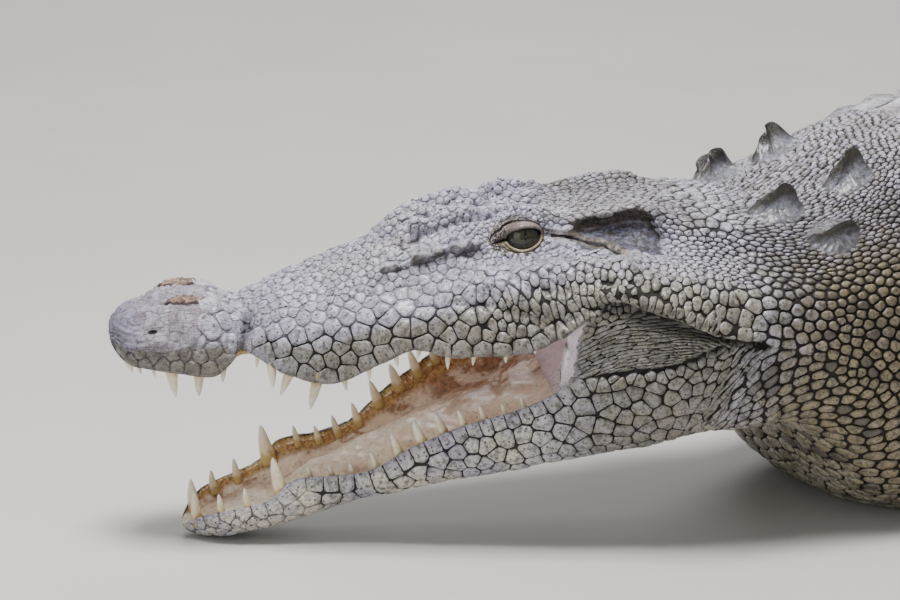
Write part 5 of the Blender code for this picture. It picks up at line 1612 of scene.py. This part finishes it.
# (start, end, half-width, height) of each bar of the ridge before the eye
BAR_SPANS = ((.312, .3435, .0068, .0062), (.3455, .3915, .0084, .0084), (.3935, .4315, .0082, .0086))
BAR_ALONG, BAR_ROUND = 49, 21


def add_ridge_bars():
    """The row of smooth sausage-shaped bosses on the ridge before each eye."""
    patch = Patch()
    u, v = np.meshgrid(np.linspace(-1, 1, BAR_ALONG), np.linspace(-1, 1, BAR_ROUND), indexing="ij")
    plump = np.sqrt(np.clip(1 - np.abs(u) ** 3.4, 0, 1))
    for side in (1, -1):
        for start, end, half, height in BAR_SPANS:
            s = mix(start, end, (u + 1) / 2)
            middle = curve(RIDGE_LINE, s)
            width = np.linalg.norm(FLANKS[side].read("around", s, middle), axis=-1)
            c = middle + v * half * np.maximum(plump, .04) / width
            base, normal = surface(side, s, c)
            high = height * plump * np.sqrt(1 - v ** 2) ** .9 * (1 + .12 * lumps(base, .016, 3.0)) - .0014
            high = high + .0002 * lumps(base, .004, 6.0)
            points = base + normal * high[..., None]
            # under: painted shade over the lower half of each bar, and its top edge a little darker
            under = .95 * smooth(-.30, .30, v + .25 * lumps(base, .007, 4.0)) + .30 * smooth(.3, .9, -v)
            patch.add(points, [grid_faces(BAR_ALONG, BAR_ROUND, side < 0)], plan=stack(s, c, side),
                      tone=stack(.5, smooth(-.0014, .0006, high), .4),
                      marks=stack(np.clip(under + .25 * lumps(base, .006, 8.0), 0, 1), .30, 0.0),
                      own=stack(u * (end - start) / 2, v * half, 0.0))
    return patch.build("ridge_bars", [HIDE], merge=1e-5)


# ---------------------------------------------------------------- materials
def srgb(red, green, blue):
    """A display colour of 0 to 255 parts, as the shader wants it."""
    return (*(((v / 255 + .055) / 1.055) ** 2.4 if v > 10 else v / 3294.6 for v in (red, green, blue)), 1.0)


class Term:
    """A value that a shader works out. Arithmetic on it adds the nodes that do it."""

    def __init__(self, paint, socket):
        self.paint, self.socket = paint, socket

    def __add__(self, other):
        return self.paint.math("ADD", self, other)

    def __sub__(self, other):
        return self.paint.math("SUBTRACT", self, other)

    def __rsub__(self, other):
        return self.paint.math("SUBTRACT", other, self)

    def __mul__(self, other):
        return self.paint.math("MULTIPLY", self, other)

    def __truediv__(self, other):
        return self.paint.math("DIVIDE", self, other)

    def __abs__(self):
        return self.paint.math("ABSOLUTE", self)

    __rmul__ = __mul__


class Paint:
    """One procedural material, wired a node at a time."""

    def __init__(self, name):
        self.material = bpy.data.materials.new(name)
        self.material.use_nodes = True
        self.shader = self.material.node_tree.nodes["Principled BSDF"]
        self.place = self.node("ShaderNodeNewGeometry", "Position")

    def put(self, socket, value):
        """Wire a term to a socket, or set the socket's own value."""
        if isinstance(value, Term):
            self.material.node_tree.links.new(value.socket, socket)
        else:
            socket.default_value = value

    def node(self, kind, output, values=(), **settings):
        """A new node's output; its inputs are filled in order, or by name or number."""
        node = self.material.node_tree.nodes.new(kind)
        for key, setting in settings.items():
            setattr(node, key, setting)
        for key, value in values.items() if isinstance(values, dict) else enumerate(values):
            self.put(node.inputs[key], value)
        return Term(self, node.outputs[output])

    def math(self, operation, a, b=0.0):
        return self.node("ShaderNodeMath", 0, (a, b), operation=operation)

    def most(self, a, b):
        return self.math("MAXIMUM", a, b)

    def length(self, a, b):
        """How long a step is that goes a one way and b across it."""
        return self.math("SQRT", self.math("POWER", a, 2.0) + self.math("POWER", b, 2.0))

    def split(self, vector):
        """The three numbers of a vector."""
        node = self.node("ShaderNodeSeparateXYZ", 0, (vector,)).socket.node
        return [Term(self, output) for output in node.outputs]

    def join(self, *numbers):
        return self.node("ShaderNodeCombineXYZ", 0, numbers)

    def channels(self, name):
        """The three numbers painted on the mesh under a name."""
        return self.split(self.node("ShaderNodeAttribute", "Vector", attribute_name=name))

    def step(self, value, low, high, start=0.0, end=1.0):
        """A soft step of a value from start to end."""
        return self.node("ShaderNodeMapRange", 0, (value, low, high, start, end),
                         interpolation_type="SMOOTHSTEP")

    def mix(self, a, b, share):
        return self.node("ShaderNodeMix", 2, {"Factor": share, 6: a, 7: b}, data_type="RGBA")

    def vary(self, value, low, high, first, second):
        """From the first colour to the second as the value rises from low to high."""
        return self.mix(first, second, self.step(value, low, high))

    def dim(self, colour, factor):
        """A colour times a number."""
        return self.node("ShaderNodeVectorMath", 0, {0: colour, "Scale": factor}, operation="SCALE")

    def noise(self, scale, detail=3.0, rough=.55, vector=None):
        return self.node("ShaderNodeTexNoise", "Fac", {"Vector": vector or self.place, "Scale": scale,
                                                       "Detail": detail, "Roughness": rough})

    def cells(self, scale, feature="DISTANCE_TO_EDGE", vector=None):
        return self.node("ShaderNodeTexVoronoi", "Distance", {"Vector": vector or self.place, "Scale": scale},
                         feature=feature)

    def swirl(self, reach):
        """Places shifted about by noise, so that cells drawn there get curved edges."""
        offset = self.node("ShaderNodeTexNoise", "Color", {"Scale": 60.0})
        return self.node("ShaderNodeVectorMath", 0, (offset, (reach,) * 3, self.place),
                         operation="MULTIPLY_ADD")

    def finish(self, colour, roughness, height=None, strength=0.0, distance=0.0, **constants):
        """Wire the shader, with a bump for the height, and return the material."""
        self.put(self.shader.inputs["Base Color"], colour)
        self.put(self.shader.inputs["Roughness"], roughness)
        if height is not None:
            bump = {"Height": height, "Strength": strength, "Distance": distance}
            self.put(self.shader.inputs["Normal"], self.node("ShaderNodeBump", 0, bump))
        for key, value in constants.items():
            self.shader.inputs[key.replace("_", " ")].default_value = value
        return self.material


# COOL: pale grey of the head's hide; its lavender-blue tint is a painted reflection of the sky on the wet top
# of the head
COOL = srgb(184, 181, 198)
OLIVE = srgb(144, 138, 124)
TAN = srgb(160, 146, 112)
CREAM = srgb(212, 204, 182)
BROWN_BLACK = srgb(54, 48, 46)
GAP_COLOUR = srgb(22, 20, 19)
PINK = srgb(240, 224, 236)
EAR_BLUE = srgb(112, 113, 132)
PORE_SEEDS = (0.0, 4.7)
PORE_SPREAD = .014


def paint_features(p, colour, s, c, lines, noises):
    """Snout tip, nostril disc and pit, ear slit and the hollow behind it, on the bare skin, with painted
    shade in the pit, in the ear slit and under the skull table's rim.
    """
    ear, rim, _ = lines
    patchy, mottle = noises
    lead = p.step(s, .135, .110)
    disc = p.length((s - .0900) / .0240, (c - 1.42) / .42) + (p.noise(110.0) - .5) * .9
    pit = p.length((s - .046) / .0054, (c - 3.00) / .155)
    colour = p.mix(colour, p.vary(patchy, .38, .62, srgb(134, 120, 126), srgb(170, 162, 176)), lead * .75)
    wrinkled = p.mix(colour, p.dim(colour, .62), lead)
    colour = p.vary(p.cells(70.0, vector=p.swirl(.012)), .015, .10, wrinkled, colour)
    slit = abs(ear)
    # ledge: painted shadow under the overhanging rim of the skull table
    ledge = p.step(rim + (patchy - .5) * .30, .52, .30) * p.step(rim, -.14, -.04)
    hollow = p.step(rim, .30, .46) * p.step(rim, 1.45, 1.20)
    flap = p.step(slit, .04, .08) * p.step(slit + (mottle - .5) * .16, .20, .11)
    for over, share in (
            (p.vary(mottle, .42, .58, srgb(96, 76, 66), srgb(156, 128, 108)), p.step(disc, 1.15, .80)),
            (srgb(52, 40, 38), p.step(abs(disc - 1.0), .22, .06)),
            # painted shade: the pit is painted near black
            (srgb(22, 19, 20), p.step(pit, 1.25, .75)),
            (srgb(118, 116, 140), p.step(s, .044, .018) * .45),
            (p.vary(mottle, .42, .60, srgb(72, 66, 68), EAR_BLUE), hollow),
            (p.vary(mottle, .38, .64, srgb(36, 31, 30), srgb(84, 74, 70)), ledge),
            (p.vary(mottle, .36, .62, srgb(84, 74, 66), srgb(160, 148, 128)), flap * .75),
            # painted shade: the ear slit is painted near black
            (srgb(20, 17, 15), p.step(slit, .070, .035))):
        colour = p.mix(colour, over, share)
    return colour


def hide_material(name, kind):
    """Hide, as coat of scales, as skin between them, or as horny scutes."""
    p = Paint(name)
    tint, rise, other = p.channels("tone")
    dark, warm, pale = p.channels("marks")
    s, c, hand = p.channels("plan")
    lines = p.channels("lines")
    own_a, own_b, neck = p.channels("own")
    broad, patchy = p.noise(16.0, 4.0), p.noise(62.0, 3.0)
    mottle, fine = p.noise(150.0, 5.0, .68), p.noise(420.0, 3.0, .65)
    uneven = patchy - .5
    colour = p.vary(warm + uneven * 1.1, .0, 1.05, COOL, p.mix(OLIVE, TAN, neck))
    colour = p.mix(colour, CREAM, pale * p.step(broad, .30, .62))
    if kind == "scute":
        # on the nape scutes the tint carries painted shade along the keel; on the tail crest it varies at
        # random
        colour = p.vary(tint + uneven * .5, .05, .75, srgb(132, 133, 146), srgb(36, 33, 34))
    # worn_and_toplit: the top of the snout and its tip, rubbed smooth with shallow cracks, which are also
    # made brighter below as painted light from above
    worn_and_toplit = p.most(p.step(c + uneven * 1.2, 4.0, 3.2) * p.step(s, .68, .60), p.step(s, .175, .155))
    # recess is partly olive-brown hide and partly painted shade in the hollows of the mottled bump; the lumps
    # between get a painted highlight, 1.10 times brighter
    recess = p.mix(p.mix(p.dim(colour, .40), srgb(98, 90, 74), .35), colour, worn_and_toplit * .55)
    if kind == "skin":
        recess = p.mix(recess, colour, .55)
    colour = p.vary(mottle, .36, .58, recess, p.dim(colour, 1.10))
    # painted light: worn_and_toplit makes the top of the snout up to 9% brighter, as if lit from above; broad
    # and fine noise vary the tone at random
    shade = p.step(broad, .25, .75, .84, 1.10) * p.step(worn_and_toplit, .0, 1.0, 1.0, 1.09)
    shade = shade * p.step(fine, .30, .70, .84, 1.10)
    colour = p.dim(colour, (tint * .26 + .84 if kind == "coat" else .95) * shade)
    darkness = dark * p.step(patchy, .20, .60, .55, 1.0)
    if kind == "coat":
        darkness = p.most(darkness, p.step(other, .86, .90) * neck * .78)
        for seed in PORE_SEEDS:
            drawn = p.node("ShaderNodeTexWhiteNoise", "Color", {"W": tint + seed}, noise_dimensions="1D")
            pore = p.length(*(way - (share - .5) * PORE_SPREAD
                              for way, share in zip((own_a, own_b), p.split(drawn))))
            darkness = p.most(darkness, p.step(pore, .0009, .0017, .92, 0.0))
    # painted shade: a dark band just below the cheek's crease, under the overhanging cheek
    deep = p.step(abs(lines[2] - .10), .05, .26, .85, 0.0)
    colour = p.mix(colour, BROWN_BLACK, p.most(darkness, deep))
    if kind == "skin":
        colour = paint_features(p, colour, s, c, lines, (patchy, mottle))
        colour = p.mix(colour, PINK, rise * .85)
        colour = p.mix(p.mix(GAP_COLOUR, colour, worn_and_toplit * .60 + .06), colour, other)
    else:
        colour = p.vary(rise, .0, .30, p.mix(colour, GAP_COLOUR, worn_and_toplit * -.58 + .78), colour)
    cracks = p.step(p.cells(230.0), .0, .10)
    colour = p.mix(p.dim(colour, .70), colour, cracks)
    height = cracks * .30 + fine * .7 + mottle * 1.8
    if kind != "scute":
        streaks = p.noise(1.0, 5.0, .70, p.join(s * 80.0, c * 13.0, hand * 5.0))
        height = height + streaks * worn_and_toplit * 3.4
        # painted shade in the low streaks and a painted highlight on the high ones, over the same streaks
        # that make the bump
        colour = p.mix(colour, p.dim(colour, .52), worn_and_toplit * p.step(streaks, .50, .36))
        colour = p.mix(colour, p.dim(colour, 1.20), worn_and_toplit * p.step(streaks, .48, .62))
    if kind == "skin":
        return p.finish(colour, other * -.38 + .80, height, .50, .0013, Specular_IOR_Level=.32)
    return p.finish(colour, p.step(mottle, .30, .66, .48, .25), height, .50, .0013, Specular_IOR_Level=.50,
                    Coat_Weight=.34, Coat_Roughness=.16)


def mouth_material():
    """Palate, floor and tongue (kind 0, 1 and 3) and the wall at the mouth's back (kind 2)."""
    p = Paint("mouth_flesh")
    s, across, kind = p.channels("plan")
    edge = abs(across)
    broad, fine, patchy = p.noise(26.0, 4.0, .6), p.noise(180.0, 3.0), p.noise(22.0, 2.0)
    stain = p.noise(30.0, 4.0, .65)
    colour = p.vary(broad, .35, .65, srgb(250, 236, 216), srgb(236, 214, 194))
    orange = p.most(p.step(stain, .46, .60) * p.step(edge, .30, .85),
                    p.step(stain, .38, .52) * p.step(s, .30, .42) * p.step(across, .25, -.25))
    colour = p.mix(colour, p.vary(fine, .35, .6, srgb(112, 62, 34), srgb(162, 102, 60)), orange * .86)
    gum = p.step(edge, .82, .90) * p.step(kind, 1.1, 1.02) * p.step(s, .502, .485)
    grains = p.step(p.noise(230.0, 4.0, .7), .38, .60)
    far_gum = p.mix(srgb(150, 104, 60), srgb(206, 168, 112), grains)
    near_gum = p.mix(srgb(188, 152, 86), srgb(226, 202, 142), grains)
    colour = p.mix(colour, p.vary(across, -.2, .2, far_gum, near_gum), gum)
    web = p.most(p.step(kind, 1.5, 1.9), p.step(s, .484, .502)) * p.step(kind, 2.9, 2.4)
    colour = p.mix(colour, PINK, web)
    specks = p.most(p.step(p.cells(150.0, "F1"), .10, .22), p.step(patchy, .60, .46))
    colour = p.mix(p.dim(colour, .45), colour, specks)
    colour = p.vary(fine, .32, .56, p.dim(colour, .80), colour)
    return p.finish(colour, p.step(broad, .3, .7, .22, .42), fine * .8 + p.noise(600.0, 2.0), .35, .0012,
                    Subsurface_Weight=.15, Subsurface_Scale=.006, Specular_IOR_Level=.55)


def lid_material():
    p = Paint("lid_skin")
    rim, upper, share = p.channels("tone")
    x = p.channels("own")[0]
    fine, grain = p.noise(300.0, 3.0), p.cells(330.0)
    above, below = p.step(upper, .4, .6), p.step(upper, .6, .4)
    colour = p.vary(p.noise(70.0, 3.0), .35, .65, srgb(134, 122, 116), srgb(98, 88, 80))
    colour = p.mix(srgb(112, 102, 82), colour, above)
    pebbly = p.most(p.step(x, -.017, -.025), p.step(share, .60, .72)) * p.step(share, .10, .24)
    beads = p.vary(fine, .4, .6, srgb(166, 158, 160), srgb(138, 126, 110))
    for over, part in (
            (srgb(168, 154, 122), below * p.step(rim, .05, .5)),
            # painted shade: the upper lid's edge is darkened where it overhangs the eye
            (srgb(50, 45, 44), above * p.step(rim, .55, .95)),
            (GAP_COLOUR, p.step(share, .62, 1.0) * .55),
            (p.vary(grain, .02, .20, GAP_COLOUR, beads), pebbly),
            # painted shade in the upper lid's crease
            (srgb(38, 32, 30), above * p.step(abs(share - .56), .045, .085, .92, 0.0)),
            # painted shade in the lower lid's crease
            (srgb(46, 38, 34), below * p.step(abs(share - .45), .03, .07, .70, 0.0))):
        colour = p.mix(colour, over, part)
    colour = p.vary(grain, .0, .12, p.dim(colour, .72), colour)
    height = p.step(grain, 0.0, .25) * (pebbly * 2.0 + .7) + fine
    return p.finish(colour, .38, height, .50, .0012, Specular_IOR_Level=.5, Coat_Weight=.2,
                    Coat_Roughness=.15)


def tooth_material():
    p = Paint("tooth_enamel")
    share, seed, turn = p.channels("tone")
    stain = p.noise(150.0, 3.0)
    level = share + (stain - .5) * .35
    colour = p.vary(level, .20, .42, srgb(196, 168, 108), srgb(232, 220, 186))
    colour = p.dim(p.vary(level, .50, .85, colour, srgb(240, 235, 218)), seed * .22 + .80)
    height = stain + p.noise(8.0, 2.0, .5, p.join(share, seed, turn))
    return p.finish(colour, p.step(stain, .3, .7, .22, .38), height, .15, .0006, Subsurface_Weight=.10,
                    Subsurface_Scale=.003, Specular_IOR_Level=.55)


def claw_material():
    p = Paint("claw_horn")
    grain = p.noise(240.0, 4.0)
    colour = p.vary(p.channels("tone")[0] * grain, .20, .60, srgb(58, 50, 42), srgb(128, 112, 88))
    return p.finish(colour, p.step(grain, .3, .7, .28, .46), grain, .3, .0008)


def eye_material():
    p = Paint("eye_slit")
    x, y, _ = p.channels("tone")
    wide = 1.0 - y * y * 3.4
    slit = abs(x) - p.most(wide, 0.0) * .070
    radius = p.length(x, y)
    streak = p.noise(3.2, 4.0, .6, p.join(p.math("ARCTAN2", y, x) * 7.0, radius * 2.2, 0.0))
    colour = p.vary(streak, .34, .66, srgb(20, 18, 11), srgb(56, 52, 32))
    colour = p.vary(radius, .46, .74, colour, srgb(22, 20, 16))
    colour = p.vary(slit, -.006, .012, srgb(6, 6, 6), colour)
    return p.finish(colour, .07, Coat_Weight=.30, Coat_Roughness=.02, Specular_IOR_Level=.45)


HIDE, SKIN, SCUTE = (hide_material("hide_" + name, kind) for name, kind in (
    ("scales", "coat"), ("skin", "skin"), ("scute", "scute")))
MOUTH, LID, TOOTH, CLAW, EYE = (make() for make in (
    mouth_material, lid_material, tooth_material, claw_material, eye_material))

# ---------------------------------------------------------------- assemble
FLESH = ["head", "lower_jaw", "neck", "trunk", "tail_base", "tail_middle", "tail_tip"]
for leg_name in ("foreleg", "hindleg"):
    for hand in ("left", "right"):
        FLESH += ["%s_%s_%s" % (leg_name, hand, part) for part in ("upper", "lower", "foot")]

skin_patch = Patch()
add_body_skin(skin_patch)
add_mouth(skin_patch)
add_front_caps(skin_patch)
add_lids(skin_patch)
add_limbs(skin_patch)
skin = skin_patch.build("skin", [SKIN, MOUTH, LID], merge=2e-5)
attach(skin, "root")
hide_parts(*FLESH)

grow_front_coat()
grow_body_coat()
grow_limb_coats()
for piece in COAT + [add_crest(), add_nuchals(), add_ridge_bars()]:
    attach(piece, "root")
for name, side in (("eyeball_left", 1), ("eyeball_right", -1)):
    ball = add_eye(name, side)
    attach(ball, "root")
    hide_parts(name.replace("ball", ""))
for piece, slot in ((add_teeth("teeth_upper", UPPER_TEETH, True), "tooth"),
                    (add_teeth("teeth_lower", LOWER_TEETH, False), "tooth"), (add_claws(), "claw")):
    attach(piece, "root")
tongue = add_tongue()
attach(tongue, "root")
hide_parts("tongue")

# ---------------------------------------------------------------- floor, light and camera
floor_patch = Patch()
floor_patch.add([(-60, -60, 0), (60, -60, 0), (60, 60, 0), (-60, 60, 0)], [np.array([[0, 1, 2, 3]])])
floor_paint = Paint("floor_plaster")
floor_grain = floor_paint.noise(3.0, 5.0)
FLOOR = floor_paint.finish(floor_paint.mix(srgb(196, 194, 190), srgb(208, 206, 202), floor_grain), .8)
floor = floor_patch.build("floor", [FLOOR])

world = bpy.data.worlds.new("studio")
bpy.context.scene.world = world
world.use_nodes = True
background = world.node_tree.nodes["Background"]
background.inputs["Color"].default_value = (.97, .98, 1.0, 1.0)
background.inputs["Strength"].default_value = .36


CAMERA_TURN = math.radians(-37.0)
CAMERA_RISE = math.radians(15.0)
CAMERA_DISTANCE = 6.0
FRAME_WIDTH = 1.035
EYE_RIGHT_OF_MIDDLE = .0863
EYE_ABOVE_MIDDLE = .0736
toward = np.array((math.sin(CAMERA_TURN) * math.cos(CAMERA_RISE),
                   -math.cos(CAMERA_TURN) * math.cos(CAMERA_RISE), math.sin(CAMERA_RISE)))
rightward = np.array((math.cos(CAMERA_TURN), math.sin(CAMERA_TURN), 0.0))
upward = np.cross(toward, rightward)
eye_point = place(np.array([[.481, .074, .107]]))[0]
target = eye_point - rightward * EYE_RIGHT_OF_MIDDLE - upward * EYE_ABOVE_MIDDLE
for name, offset, size, power, colour in (
        ("key", np.array((-.6, -.4, 3.4)), 1.2, 225.0, (1.0, .99, .98)),
        ("fill", toward * 3.0 + rightward * -2.5, 3.0, 36.0, (.93, .97, 1.0)),
        ("rim", np.array((2.5, 3.0, 2.6)), 2.5, 80.0, (.98, .99, 1.0))):
    light = bpy.data.lights.new(name, "AREA")
    light.size, light.energy, light.color = size, power, colour
    lamp = bpy.data.objects.new(name, light)
    lamp.visible_camera = False
    lamp.location = target + offset
    lamp.rotation_euler = Vector(-offset).to_track_quat("-Z", "Y").to_euler()
    bpy.context.scene.collection.objects.link(lamp)
lens = bpy.data.cameras.new("camera")
lens.lens = lens.sensor_width * CAMERA_DISTANCE / FRAME_WIDTH
lens.clip_end = 60.0
camera = bpy.data.objects.new("camera", lens)
camera.matrix_world = Matrix.Translation(Vector(target + toward * CAMERA_DISTANCE)) @ Matrix(
    (rightward, upward, toward)).transposed().to_4x4()
bpy.context.scene.collection.objects.link(camera)
bpy.context.scene.camera = camera
